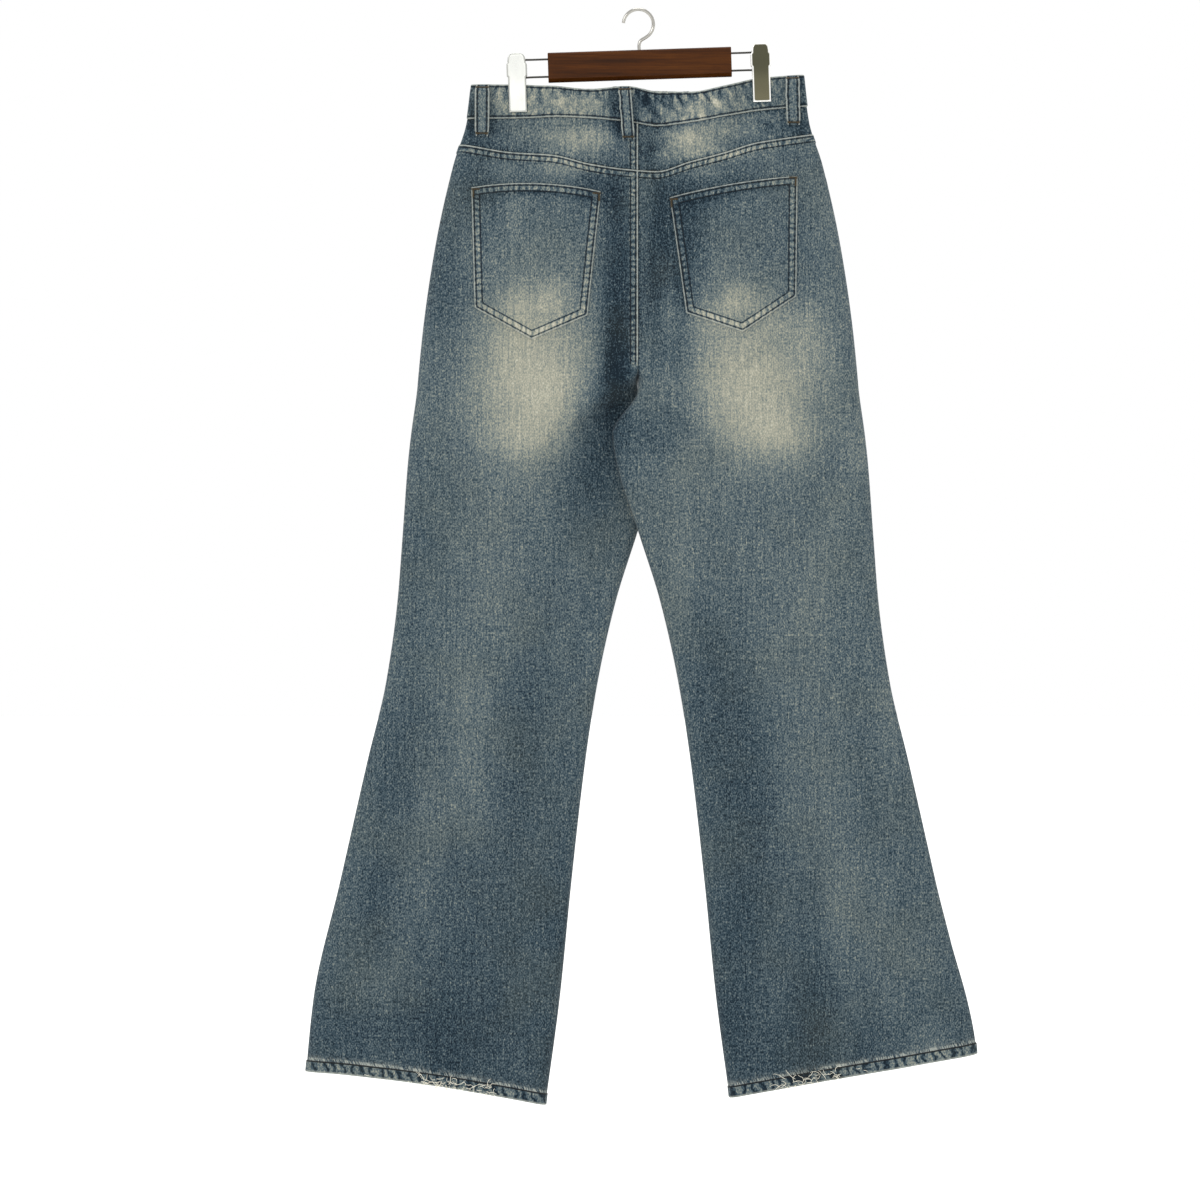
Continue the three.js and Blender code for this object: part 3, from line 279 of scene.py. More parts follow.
def nip(x, drop):
    down = 1 - smooth((drop - LINES[BACK]["top"](x) - NIP["full"]) / (NIP["gone"] - NIP["full"]))
    beside = [1 - smooth((abs(x - clip) - NIP["core"]) / NIP["fade"]) for clip in CLIPS.values()]
    return down * np.maximum(*beside)


def half_depth(x, drop):
    beyond = smooth((abs(x) - BEYOND["from"]) / BEYOND["over"])
    down = 1 - smooth((drop - NIP["full"]) / (BEYOND["gone"] - NIP["full"]))
    return mix(mix(depth_curve(drop), BEYOND["depth"], beyond * down), NIP["depth"], nip(x, drop))


def relief(folds, face, x, drop, taper):
    """Height of the folds of one table. With taper, each dies away towards its ends."""
    x, drop = np.broadcast_arrays(x, drop)
    height = np.zeros(x.shape)
    for f in rows_of(folds[face]):
        dx, dd = f["x1"] - f["x0"], f["d1"] - f["d0"]
        length = math.hypot(dx, dd)
        reach = length / 2 + abs(f["bow"]) + 2.7 * f["wide"]
        middle_x, middle_drop = (f["x0"] + f["x1"]) / 2, (f["d0"] + f["d1"]) / 2
        close = (abs(x - middle_x) < reach) & (abs(drop - middle_drop) < reach)
        from_x, from_drop = x[close] - f["x0"], drop[close] - f["d0"]
        along = (from_x * dx + from_drop * dd) / length**2
        held = np.clip(along, 0, 1)
        arch = 4 * held * (1 - held)
        across = (from_x * dd - from_drop * dx) / length - f["bow"] * arch
        past = (along - held) * length
        shape = np.exp(-(across**2 + past**2) / f["wide"] ** 2)
        height[close] += f["high"] * shape * (np.sqrt(arch) if taper else 1)
    return height


def scatter(areas):
    """Small crumples strewn over some areas, each with its own length, slant and height."""
    rows = {BACK: [], FRONT: []}
    for face, x0, x1, d0, d1, count, slant, long, high in areas:
        for k in range(count):
            x = mix(x0, x1, (k + rng.uniform(0.1, 0.9)) / count)
            drop, angle = rng.uniform(d0, d1), math.radians(rng.normal(slant, 14))
            half = long * rng.uniform(0.35, 0.75)
            dx, dd = half * math.cos(angle), half * math.sin(angle)
            rise = high * rng.uniform(0.5, 1.3) * (1 if rng.random() < 0.3 else -1)
            ends = (x - dx, drop - dd, x + dx, drop + dd)
            rows[face].append((*ends, rng.uniform(1.8, 3.4), rise, rng.normal(0, 1)))
    return tables(FOLD, rows[BACK], rows[FRONT])


CRUMPLES = scatter(CRUMPLED)


def creases(face, x, drop):
    return relief(CREASES, face, x, drop, True)


def crumples(face, x, drop):
    return relief(CRUMPLES, face, x, drop, True)


def parting(drop):
    rise = smooth((drop - CROTCH) / PART["rise"])
    return rise * (1 - smooth((drop - PART["from"]) / (PART["to"] - PART["from"])))


def cloth_y(side, face, x, drop):
    """The y of the cloth's outer surface on one side and face."""
    from_outer = np.maximum(0, outer_edge(side, drop) - side * x)
    inner = inner_curve(drop)
    from_inner = np.maximum(0, side * x - inner)
    parted = parting(drop)
    reach = mix(PART["near"], PART["far"], smooth((drop - CROTCH) / PART["over"]))
    near = 1 - smooth((from_inner + 2 * np.minimum(0, inner)) / reach)
    half = mix(half_depth(x, drop), PART["depth"], near * parted)
    round_outer = mix(ROUND["waist"], ROUND["outer"], smooth(drop / 150))
    turn = np.clip((drop - CROTCH + 14) / 14, 0, 1)
    closed = 1 - np.sqrt(1 - turn**2)
    inner_profile = 1 - closed * (1 - quarter_round(from_inner / ROUND["inner"]))
    profile = quarter_round(from_outer / round_outer) * inner_profile
    fine = creases(face, x, drop) + crumples(face, x, drop)
    high = relief(FOLDS, face, x, drop, False) * (1 - near * parted) + fine
    swell = high * profile * (1 - nip(x, drop))
    return -side * PART["y"] * parted * near + face * (HALF_GAP + (half - HALF_GAP) * profile + swell)


def on_cloth(face, x, drop, lift, side=None):
    """Points of the cloth moved outwards by lift, and the outward directions there."""
    x, drop = np.broadcast_arrays(np.asarray(x, float), np.asarray(drop, float))

    def at(px, pd):
        return cloth_y(np.where(px < 0, LEFT, RIGHT) if side is None else side, face, px, pd)

    step = 1.0
    slope_x = (at(x + step, drop) - at(x - step, drop)) / (2 * step)
    slope_drop = (at(x, drop + step) - at(x, drop - step)) / (2 * step)
    out = np.stack([-slope_x, np.ones_like(x), slope_drop], -1)
    out *= face / np.linalg.norm(out, axis=-1, keepdims=True)
    points = np.stack([x, at(x, drop), WAIST_Z - drop], -1)
    return points + out * np.asarray(lift)[..., None], out


def wear_and_shade_at(face, x, drop):
    """How worn the denim is at a place, with painted light and shade: about 0 to 1, and below 0 in a hole.
    Fold, crease and crumple ridges are lighter and their troughs darker, partly as wear and partly as painted
    light and shade, and some spots are painted shade.
    """
    large = creases(face, x, drop) + 0.5 * relief(FOLDS, face, x, drop, False)
    tone = wear_curve(drop) + CREASE_WEAR_AND_SHADE * large + CRUMPLE_WEAR_AND_SHADE * crumples(face, x, drop)
    for s in rows_of(FADE_AND_SHADE_SPOTS[face]):
        away = ((x - s["x"]) / s["wide"]) ** 2 + ((drop - s["drop"]) / s["tall"]) ** 2
        tone = tone + s["tone"] * np.exp(-(away**1.3))
    return tone


def ripple(run, across, period=10.5, slant=0.5, seed=0.0):
    """The uneven slanting puckers that stitching draws up, with narrow dips, from about -1 to 0.5."""
    wander = 1.9 * np.sin(run / 27 + seed) + 1.1 * np.sin(run / 8.3 + 2.3 * seed) + 0.5 * np.sin(run / 3.7)
    wave = 0.5 + 0.5 * np.sin(2 * np.pi * (run + slant * across) / period + wander)
    return 0.5 - 1.5 * wave**2.6 * (0.8 + 0.3 * np.sin(run / 13 + seed))


# Meshes

def new_object(name, mesh):
    obj = bpy.data.objects.new(name, mesh)
    bpy.context.scene.collection.objects.link(obj)
    return obj


def mesh_object(name, points, faces, material, fields=None):
    """A smooth-shaded object from points in millimetres, with a value or vector at each point."""
    mesh = bpy.data.meshes.new(name)
    mesh.from_pydata(points / 1000, [], faces)
    mesh.shade_smooth()
    for key, values in (fields or {}).items():
        vector = values.ndim == 2
        attribute = mesh.attributes.new(key, "FLOAT_VECTOR" if vector else "FLOAT", "POINT")
        attribute.data.foreach_set("vector" if vector else "value", values.astype(np.float32).ravel())
    mesh.materials.append(material)
    return new_object(name, mesh)


def grid_normals(grid, face=None):
    """Outward directions of a grid of points that faces +Y or -Y."""
    n = np.cross(np.gradient(grid, axis=1), np.gradient(grid, axis=0))
    if face is not None and n[0, grid.shape[1] // 2, 1] * face < 0:
        n = -n
    return n


def unit(v):
    return v / np.maximum(np.linalg.norm(v, axis=-1, keepdims=True), 1e-9)


def shell(name, outer, inner, material, fields):
    """A closed wall between two grids of points of the same shape."""
    rows, columns = outer.shape[:2]
    count = rows * columns
    at = np.arange(count).reshape(rows, columns)
    front = np.stack([at[:-1, :-1], at[1:, :-1], at[1:, 1:], at[:-1, 1:]], -1).reshape(-1, 4)
    ring = np.concatenate([at[0], at[1:, -1], at[-1, -2::-1], at[-2:0:-1, 0]])
    after = np.roll(ring, -1)
    rim = np.stack([ring, after, after + count, ring + count], -1)
    faces = np.concatenate([front, front[:, ::-1] + count, rim])
    points = np.concatenate([outer.reshape(-1, 3), inner.reshape(-1, 3)])
    a, b, c, d = (points[faces[:, k]] for k in range(4))
    volume = np.sum(np.cross(c - a, d - b) * (a + b + c + d))
    if volume < 0:
        faces = faces[:, ::-1]
    both = {}
    for key, values in fields.items():
        flat = np.broadcast_to(values, outer.shape[: max(2, np.ndim(values))]).reshape(count, -1)
        both[key] = np.concatenate([flat, flat]).squeeze()
    both["inside"] = np.repeat([0.0, 1.0], count)
    return mesh_object(name, points, faces, material, both)


def circle(across, up, sides):
    """Directions round a circle that lies along across and up, at each place of a path."""
    angle = np.arange(sides) * 2 * np.pi / sides
    return across[:, None] * np.cos(angle)[None, :, None] + up[:, None] * np.sin(angle)[None, :, None]


def ring_faces(rings, sides):
    """Four-cornered faces between rings of points that follow one another."""
    start = np.arange(rings - 1)[:, None] * sides
    k = np.arange(sides)[None, :]
    a, b = start + k, start + (k + 1) % sides
    return np.stack([a, b, b + sides, a + sides], -1).reshape(-1, 4)


def weave_over(grid, face):
    """Places on the flat cloth, so that the weave isn't drawn out where the cloth turns away."""
    steps = np.linalg.norm(np.diff(grid[..., :2], axis=1), axis=-1)
    run = np.pad(np.cumsum(steps, axis=1), ((0, 0), (1, 0)))
    middle = run.shape[1] // 2
    away = (run - run[:, [middle]]) * np.sign(grid[0, -1, 0] - grid[0, 0, 0])
    across = grid[:, [middle], 0] + away + (FRONT_WEAVE if face == FRONT else 0)
    return np.stack([across, WAIST_Z - grid[..., 2], 0 * run], -1)


def dress(obj, slot, *nodes):
    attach(obj, "root")
    if nodes:
        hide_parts(*nodes)
    return obj


def cloth_piece(name, node, outer, inner, material, fields, extras=(), slot="denim"):
    """A sheet of cloth that stands for one CAD node, which it hides."""
    obj = dress(shell(name, outer, inner, material, fields), slot, node)
    return obj


# Materials

def srgb(r, g, b, share=1.0):
    """A linear colour from 8-bit sRGB numbers, or a share of it."""
    linear = [((c / 255 + 0.055) / 1.055) ** 2.4 if c > 10 else c / 3294.6 for c in (r, g, b)]
    return tuple(share * c for c in linear) + (1.0,)


class Nodes:
    """Adds nodes to a new material. An input is a number, a colour or another node's output."""

    def __init__(self, name, **shader):
        self.material = bpy.data.materials.new(name)
        self.material.use_nodes = True
        self.tree = self.material.node_tree
        self.bsdf = self.tree.nodes["Principled BSDF"]
        for key, value in shader.items():
            self.put(self.bsdf, key.replace("_", " "), value)

    def put(self, node, key, value):
        socket = node.inputs[key]
        if isinstance(value, bpy.types.NodeSocket):
            self.tree.links.new(value, socket)
        else:
            socket.default_value = value

    def add(self, kind, inputs=(), **settings):
        node = self.tree.nodes.new("ShaderNode" + kind)
        for key, value in settings.items():
            setattr(node, key, value)
        for key, value in dict(inputs).items():
            self.put(node, key, value)
        return node

    def math(self, operation, *values):
        node = self.add("Math", operation=operation)
        for i, value in enumerate(values):
            self.put(node, i, value)
        return node.outputs[0]

    def total(self, *values):
        result = values[0]
        for value in values[1:]:
            result = self.math("ADD", result, value)
        return result

    def product(self, a, b):
        return self.math("MULTIPLY", a, b)

    def field(self, name, vector=False):
        return self.add("Attribute", attribute_name=name).outputs["Vector" if vector else "Fac"]

    def noise(self, where, size, amount, detail=2.0):
        """Noise from -amount / 2 to amount / 2 whose blots are of that size, given for each axis."""
        scale = tuple(1 / s for s in size)
        spot = self.add("VectorMath", {0: where, 1: scale}, operation="MULTIPLY").outputs[0]
        raw = self.add("TexNoise", {"Vector": spot, "Scale": 1.0, "Detail": detail}).outputs[0]
        return self.math("MULTIPLY", self.math("SUBTRACT", raw, 0.5), amount * 2)

    def fade(self, distance, full, gone, amount):
        """The amount up to a distance of full, and nothing from gone on."""
        share = self.add("MapRange", {"Value": distance, "From Min": full, "From Max": gone,
                                      "To Min": amount, "To Max": 0.0}, interpolation_type="SMOOTHSTEP")
        return share.outputs[0]

    def line(self, distance, position, half_width, amount):
        """A soft line where distance is position."""
        away = self.math("ABSOLUTE", self.math("SUBTRACT", distance, position))
        return self.fade(away, half_width * 0.4, half_width, amount)

    def bars(self, run, where):
        """Pale cloth with uneven dark bars across a seam, as far apart as BARS along its run."""
        wander = self.noise(where, (13, 13, 1), 6.0)
        phase = self.math("ADD", self.math("MULTIPLY", run, 2 * math.pi / BARS), wander)
        wave = self.math("MULTIPLY_ADD", self.math("SINE", phase), 0.5, 0.5)
        return self.math("MULTIPLY_ADD", self.math("POWER", wave, 2.2), -1.5, 0.5)

    def ramp(self, value, stops):
        node = self.add("ValToRGB", {"Fac": value})
        elements = node.color_ramp.elements
        while len(elements) < len(stops):
            elements.new(0.5)
        for element, (position, colour) in zip(elements, stops):
            element.position, element.color = position, colour
        return node.outputs["Color"]

    def blend(self, factor, a, b):
        node = self.add("Mix", data_type="RGBA")
        for key, value in ((0, factor), (6, a), (7, b)):
            self.put(node, key, value)
        return node.outputs[2]

    def bump(self, height, strength, distance):
        node = self.add("Bump", {"Height": height, "Strength": strength, "Distance": distance})
        self.put(self.bsdf, "Normal", node.outputs[0])

    def done(self, **links):
        for key, value in links.items():
            self.put(self.bsdf, key.replace("_", " "), value)
        return self.material


STUDIO = 0.72  # the share of a colour that is used, because the lamps brighten it
DENIM_STOPS = [
    (0.0, srgb(20, 35, 46, STUDIO)), (0.2, srgb(49, 68, 80, STUDIO)),
    (0.4, srgb(86, 102, 110, STUDIO)), (0.6, srgb(131, 140, 136, STUDIO)),
    (0.8, srgb(178, 177, 159, STUDIO)), (1.0, srgb(214, 211, 194, STUDIO)),
]
TONE_TO_RAMP = 0.8  # a tone of 1 is a cream fade, and the ramp goes on past it
DENIM_EDGE = srgb(176, 181, 174, STUDIO)
DENIM_INSIDE = srgb(140, 148, 152, STUDIO)
DENIM_DIRT = srgb(118, 116, 84, STUDIO)
NEARLY_BLACK = srgb(20, 26, 32, STUDIO)
BARS = 6.6  # from one dark bar across a seam to the next
FRONT_WEAVE = 2000  # the fronts take their weave from elsewhere
HAIR_SLANT = math.radians(24)


def denim(name, rows, mottled=0.09, edges=("rim",)):
    """Washed denim. rows are the distances of stitch rows from its edges, where the cloth is drawn in."""
    n = Nodes(name, Roughness=0.95, Sheen_Weight=0.06, Sheen_Roughness=0.5, Specular_IOR_Level=0.12)
    where = n.field("flat", True)
    rim = n.field("rim")
    # wear_and_shade holds the wear and also painted light and shade: lighter fold and crease ridges, darker
    # troughs, and dark spots and lines by seams and belt loops.
    wear_and_shade = n.field("wear_and_shade")
    rough = n.math("MULTIPLY_ADD", wear_and_shade, -0.8, 1.35)
    speck = n.product(rough, n.noise(where, (1.3, 2.2, 1), 0.78, 2))
    grain = n.product(rough, n.noise(where, (2.8, 6.0, 1), 0.31, 2))
    mottle = n.noise(where, (8, 12, 1), mottled, 2)
    slub = n.noise(where, (2.2, 52, 1), 0.2, 2)
    cloud = n.noise(where, (60, 120, 1), 0.07, 2)
    twill = n.add("TexWave", {"Vector": where, "Scale": 0.45, "Distortion": 1.5, "Detail Scale": 0.6},
                  bands_direction="DIAGONAL").outputs["Fac"]
    worn = n.total(1.0, n.noise(where, (7, 7, 1), 0.9))
    lip = n.field("lip")
    turned = n.add("VectorRotate", {"Vector": where, "Angle": HAIR_SLANT}, rotation_type="Z_AXIS").outputs[0]
    hairs = n.total(0.3, n.noise(turned, (1.2, 8, 1), 1.9), n.noise(where, (22, 9, 1), 0.9))
    above_hem = n.total(n.line(lip, HEM_ROW + 2, 2.4, 0.75), n.fade(lip, HEM_ROW, HEM_ROW + 9, 0.6))
    fuzz = n.product(n.math("MAXIMUM", hairs, 0.0), above_hem)
    fuzz = n.product(fuzz, n.math("GREATER_THAN", lip, HEM_ROW))
    edge = n.product(worn, n.total(n.fade(rim, 0.8, 1.6, 0.75), n.fade(lip, 0.8, 2.6, 0.7)))
    grooves = n.total(*(n.line(n.field(e), r, 1.1, -0.5) for e in edges for r in rows))
    rope = n.product(n.field("rope"), n.bars(n.field("run"), where))
    tone = n.total(wear_and_shade, speck, grain, mottle, slub, cloud, n.product(twill, 0.04),
                   grooves, rope)
    colour = n.ramp(n.product(tone, TONE_TO_RAMP), DENIM_STOPS)
    colour = n.blend(n.total(edge, fuzz), colour, DENIM_EDGE)
    colour = n.blend(n.line(lip, HEM_ROW, 1.2, 0.95), colour, NEARLY_BLACK)
    dirty = n.math("MAXIMUM", n.total(0.015, n.noise(where, (80, 70, 1), 0.15, 2)), 0.0)
    colour = n.blend(dirty, colour, DENIM_DIRT)
    colour = n.blend(n.product(n.field("inside"), 0.8), colour, DENIM_INSIDE)
    height = n.total(n.product(speck, 1.0), n.product(twill, 0.3), slub,
                     n.product(grooves, 2.5), grain)
    n.bump(height, 0.6, 0.0007)
    return n.done(Base_Color=colour)


def thread(name, colour, spread):
    """Cotton sewing thread, faded unevenly."""
    n = Nodes(name, Roughness=0.85, Sheen_Weight=0.04, Sheen_Roughness=0.4)
    where = n.add("TexCoord").outputs["Object"]
    light = n.noise(where, (0.006, 0.006, 0.006), 1.0, 3)
    factor = n.total(0.5, light)
    dark, pale = (tuple(c * k for c in colour[:3]) + (1.0,) for k in (1 - spread, 1 + spread))
    twist = n.add("TexWave", {"Vector": where, "Scale": 900.0}, bands_direction="DIAGONAL").outputs["Fac"]
    n.bump(twist, 0.4, 0.0002)
    return n.done(Base_Color=n.blend(factor, dark, pale))


# Painted reflection: a clip's foot is painted lighter between these heights.
CLIP_FOOT_REFLECTION = (-0.095, -0.055)  # heights in metres between which a clip's foot takes on its other colour


def steel(name, face, rim_reflection_colour, roughness, foot=None):
    """Polished steel. A rim takes another colour, and so may the foot of a clip: on the clips the face, rim
    and foot colours are painted reflections.
    """
    n = Nodes(name, Metallic=1.0)
    where = n.add("TexCoord").outputs["Object"]
    smear = n.noise(where, (0.012, 0.012, 0.03), 0.12, 3)
    # Painted reflections on the clips: the rim and the foot take colours of their own.
    near = n.fade(n.field("edge"), 1.3, 2.0, 1.0)
    height = n.add("SeparateXYZ", {0: where}).outputs["Z"]
    face = n.blend(n.fade(height, CLIP_FOOT_REFLECTION[0], CLIP_FOOT_REFLECTION[1], 1.0), face, foot or face)
    colour = n.blend(near, face, rim_reflection_colour)
    shade = n.noise(where, (0.02, 0.02, 0.02), 0.1, 2)
    dulled = n.blend(n.math("MAXIMUM", shade, 0.0), colour, srgb(70, 68, 60))
    n.bump(n.noise(where, (0.003, 0.003, 0.003), 0.3, 2), 0.1, 0.0001)
    return n.done(Base_Color=dulled, Roughness=n.total(roughness, smear))


def brass(name):
    n = Nodes(name, Metallic=1.0)
    where = n.add("TexCoord").outputs["Object"]
    aged = n.total(0.5, n.noise(where, (0.003, 0.003, 0.003), 0.9, 4))
    colour = n.blend(aged, srgb(150, 118, 70), srgb(96, 70, 40))
    n.bump(n.noise(where, (0.0006, 0.0006, 0.0006), 0.6, 3), 0.3, 0.0001)
    return n.done(Base_Color=colour, Roughness=n.total(0.26, n.product(aged, 0.25)))


def wood(name):
    """Dark stained wood, with its grain along X."""
    n = Nodes(name, Coat_Weight=0.04, Coat_Roughness=0.3, Specular_IOR_Level=0.12)
    where = n.add("TexCoord").outputs["Object"]
    grain = n.noise(where, (0.09, 0.003, 0.0022), 1.0, 6)
    pores = n.noise(where, (0.012, 0.0006, 0.0005), 0.9, 2)
    figure = n.noise(where, (0.16, 0.02, 0.011), 0.7, 2)
    tone = n.total(0.5, n.product(grain, 0.6), n.product(pores, 0.35), figure)
    stains = [srgb(46, 20, 0, STUDIO), srgb(74, 36, 0, STUDIO), srgb(98, 54, 8, STUDIO)]
    colour = n.ramp(tone, list(zip((0.0, 0.5, 1.0), stains)))
    n.bump(n.total(pores, grain), 0.2, 0.0003)
    return n.done(Base_Color=colour, Roughness=n.total(0.5, n.product(pores, 0.2)))


def woven_tape(name):
    n = Nodes(name, Roughness=0.9)
    where = n.field("flat", True)
    weave = n.add("TexWave", {"Vector": where, "Scale": 0.35}, bands_direction="DIAGONAL").outputs["Fac"]
    patchy = n.noise(where, (4, 6, 1), 0.5, 3)
    colour = n.blend(n.total(0.4, patchy, n.product(weave, 0.2)), srgb(34, 42, 50), srgb(70, 80, 88))
    n.bump(weave, 0.5, 0.0004)
    return n.done(Base_Color=colour)


# Distances of the stitch rows from a seam or an edge
SEAM_ROWS = (2.3, 7.7)
BAND_ROWS = (2.5,)
POCKET_ROWS = (2.4, 8.5)
LOOP_ROWS = (2.2,)
DENIM = {
    "leg": denim("denim_leg", SEAM_ROWS, edges=("rim", "fly")),
    "yoke": denim("denim_yoke", SEAM_ROWS, 0.16),
    "band": denim("denim_band", BAND_ROWS, 0.3),
    "pocket": denim("denim_pocket", POCKET_ROWS, 0.12),
    "loop": denim("denim_loop", LOOP_ROWS),
}
NAVY = thread("thread_navy", srgb(24, 31, 38, STUDIO), 0.3)
RUST = thread("thread_rust", srgb(70, 58, 34, STUDIO), 0.3)
PALE = thread("thread_pale", srgb(236, 232, 216), 0.1)
BRASS = brass("aged_brass")
BRIGHT_WIRE = steel("bright_wire", srgb(170, 168, 162), srgb(170, 168, 162), 0.16)
DARK_WIRE = steel("dark_wire", srgb(66, 65, 62), srgb(66, 65, 62), 0.22)
# Both clips are one steel painted two ways: the left clip's near-white face and the right clip's white rim
# are painted reflection and highlight, and each foot is painted lighter.
CLIP_STEEL_PAINTED_REFLECTIONS = {
    LEFT: steel("clip_steel_painted_reflections_left", srgb(236, 237, 232), srgb(180, 181, 176), 0.3, srgb(246, 247, 241)),
    RIGHT: steel("clip_steel_painted_reflections_right", srgb(86, 85, 68), srgb(244, 243, 238), 0.24, srgb(114, 110, 88)),
}
WOOD = wood("stained_wood")


# Stitches

STITCH = {"pitch": 3.0, "fill": 0.86, "radius": 0.44}
TACK = {"pitch": 0.62, "radius": 0.42}


def along_path(points, step):
    """Places every step along a line of points, as fractions of its index."""
    length = np.concatenate([[0], np.cumsum(np.linalg.norm(np.diff(points, axis=0), axis=1))])
    count = max(1, int(length[-1] / step))
    return np.interp((np.arange(count) + 0.5) * length[-1] / count, length, np.arange(len(points)))


def at_index(values, index):
    low = np.clip(np.floor(index).astype(int), 0, len(values) - 2)
    return mix(values[low], values[low + 1], (index - low)[:, None])


def spindles(starts, ends, normals, radius):
    """Short threads from starts to ends: each a spindle that dips into the cloth at both tips."""
    sides = 4
    count = len(starts)
    direction = unit(ends - starts)
    across = unit(np.cross(direction, normals))
    up = np.cross(across, direction)
    rings = [(0.2, 0.85, 0.1), (0.5, 1.0, 0.42), (0.8, 0.85, 0.1)]
    points = [starts - up * radius * 0.9]
    for share, size, high in rings:
        centre = mix(starts, ends, share) + up * radius * high
        for k in range(sides):
            angle = 2 * np.pi * (k + 0.5) / sides
            points.append(centre + radius * size * (across * math.cos(angle) + up * math.sin(angle)))
    points.append(ends - up * radius * 0.9)
    last = len(points) - 1
    faces = []
    for k in range(sides):
        a, b = 1 + k, 1 + (k + 1) % sides
        faces.append((0, b, a))
        for ring in range(len(rings) - 1):
            p, q = a + ring * sides, b + ring * sides
            faces += [(p, q, q + sides), (p, q + sides, p + sides)]
        faces.append((last, a + (len(rings) - 1) * sides, b + (len(rings) - 1) * sides))
    base = np.arange(count) * (last + 1)
    return np.stack(points, 1).reshape(-1, 3), (base[:, None, None] + np.array(faces)).reshape(-1, 3)


class Sewing:
    """Collects threads for one object."""

    def __init__(self):
        self.points, self.faces, self.count = [], [], 0

    def add(self, points, faces):
        self.points.append(points)
        self.faces.append(faces + self.count)
        self.count += len(points)

    def row(self, points, normals):
        """A row of stitches along a line on the cloth."""
        index = along_path(points, STITCH["pitch"])
        middle, normal = at_index(points, index), at_index(normals, index)
        ahead = at_index(points, np.minimum(index + 0.02, len(points) - 1))
        behind = at_index(points, np.maximum(index - 0.02, 0))
        reach = unit(ahead - behind) * STITCH["pitch"] * STITCH["fill"] / 2
        wobble = rng.normal(0, 0.1, (len(index), 1)) * np.cross(unit(reach), normal)
        self.add(*spindles(middle - reach + wobble, middle + reach - wobble, normal, STITCH["radius"]))

    def on(self, face, x, drop, lift, side=None):
        self.row(*on_cloth(face, x, drop, lift, side))

    def tack(self, face, x, drop, angle, lift, length=9.0, width=2.4, side=None):
        """A bartack: close threads side by side, square to its length."""
        along = np.linspace(-length / 2, length / 2, int(length / TACK["pitch"]))
        run, cross = (math.cos(angle), math.sin(angle)), (-math.sin(angle), math.cos(angle))
        ends = []
        for end in (-0.5, 0.5):
            px = x + along * run[0] + end * width * cross[0]
            pd = drop + along * run[1] + end * width * cross[1]
            ends.append(on_cloth(face, px, pd, lift, side))
        self.add(*spindles(ends[0][0], ends[1][0], ends[0][1], TACK["radius"]))

    def build(self, name, material, slot="denim"):
        obj = mesh_object(name, np.concatenate(self.points), np.concatenate(self.faces), material)
        return dress(obj, slot)


# Legs

OUTER_STEPS = np.array([0, 0.4, 1.2, 2.6, 4.6, 7.2, 10.4, 14.4, 19])
INNER_STEPS = np.array([0, 0.6, 1.4, 2.4, 4, 6, 7.6, 8.7, 9.5, 11, 13.4, 16.5, 20, 24])
TOP_ROWS = np.array([0, 0.5, 1.2, 2.2, 3.5, 5, 6.5, 7.8, 8.7, 9.3, 10, 11.5, 14, 17])
HEM_ROWS = np.array([15, 13.6, 12.9, 12.2, 11.4, 10, 8, 6, 4, 2.4, 1.3, 0.5, 0])
GRID = {BACK: (74, 290), FRONT: (48, 190)}  # columns between the two edges, and rows


def columns_of(middle):
    """Each column's distance from the side seam as a + b * width."""
    share = np.linspace(0, 1, middle + 2)[1:-1]
    between = OUTER_STEPS[-1] * (1 - share) - share * INNER_STEPS[-1]
    a = np.concatenate([OUTER_STEPS, between, -INNER_STEPS[::-1]])
    b = np.concatenate([0 * OUTER_STEPS, share, 1 + 0 * INNER_STEPS])
    return a, b


def from_side(side, drop, a, b):
    return a + b * (outer_edge(side, drop) - inner_curve(drop))


def column_x(side, drop, a, b):
    """x of the columns on one side, at some drop."""
    return side * (outer_edge(side, drop) - from_side(side, drop, a, b))


def sewn_shut(x, drop):
    """Brings the edges that are sewn together at the centre to x = 0."""
    return np.where((abs(x) < 0.5) & (drop < CROTCH + 22), 0, x)


def under_seam_shadow(side, from_inner, drop):
    """1 at the seat seam on the right half, whose edge lies under the left half's, where a painted shadow
    darkens the cloth.
    """
    return np.exp(-np.maximum(from_inner, 0) / 1.6) * (drop < CROTCH) * (side == RIGHT)


def crossing(line, x_at):
    drop = 60.0
    for _ in range(8):
        drop = line(x_at(drop), drop)
    return drop


def scoop_drop(distance):
    curve = SCOOP["deep"] * np.cos(np.pi / 2 * np.clip(distance / SCOOP["wide"], 0, 1))
    return np.where(distance >= SCOOP["wide"], 0, curve)


def scoop_line(side):
    return lambda x, drop: LINES[FRONT]["seam"](x) + scoop_drop(outer_edge(side, drop) - side * x)


def step_down(distance, width):
    """1 inside a raised band and 0 outside it, with a short slope."""
    return 1 - smooth((distance - width + 0.4) / 0.9)


def fly_rim(from_inner, drop):
    """Distance inwards from the border of the fly's lap, which is straight and then curls to the centre."""
    below = np.maximum(drop - FLY["bend"], 0)
    return FLY["wide"] - np.hypot(from_inner, below)


def closed_grid(side, face, drop, a, b):
    """x, points and outward directions of a panel's cloth, shut at the side seam."""
    x = sewn_shut(column_x(side, drop, a, b), drop)
    grid = np.stack([x, cloth_y(side, face, x, drop), WAIST_Z - drop], -1)
    grid[:, 0, 1] = 0
    normals = grid_normals(grid, face)
    normals[:, 0, 1] = 0
    return x, grid, normals


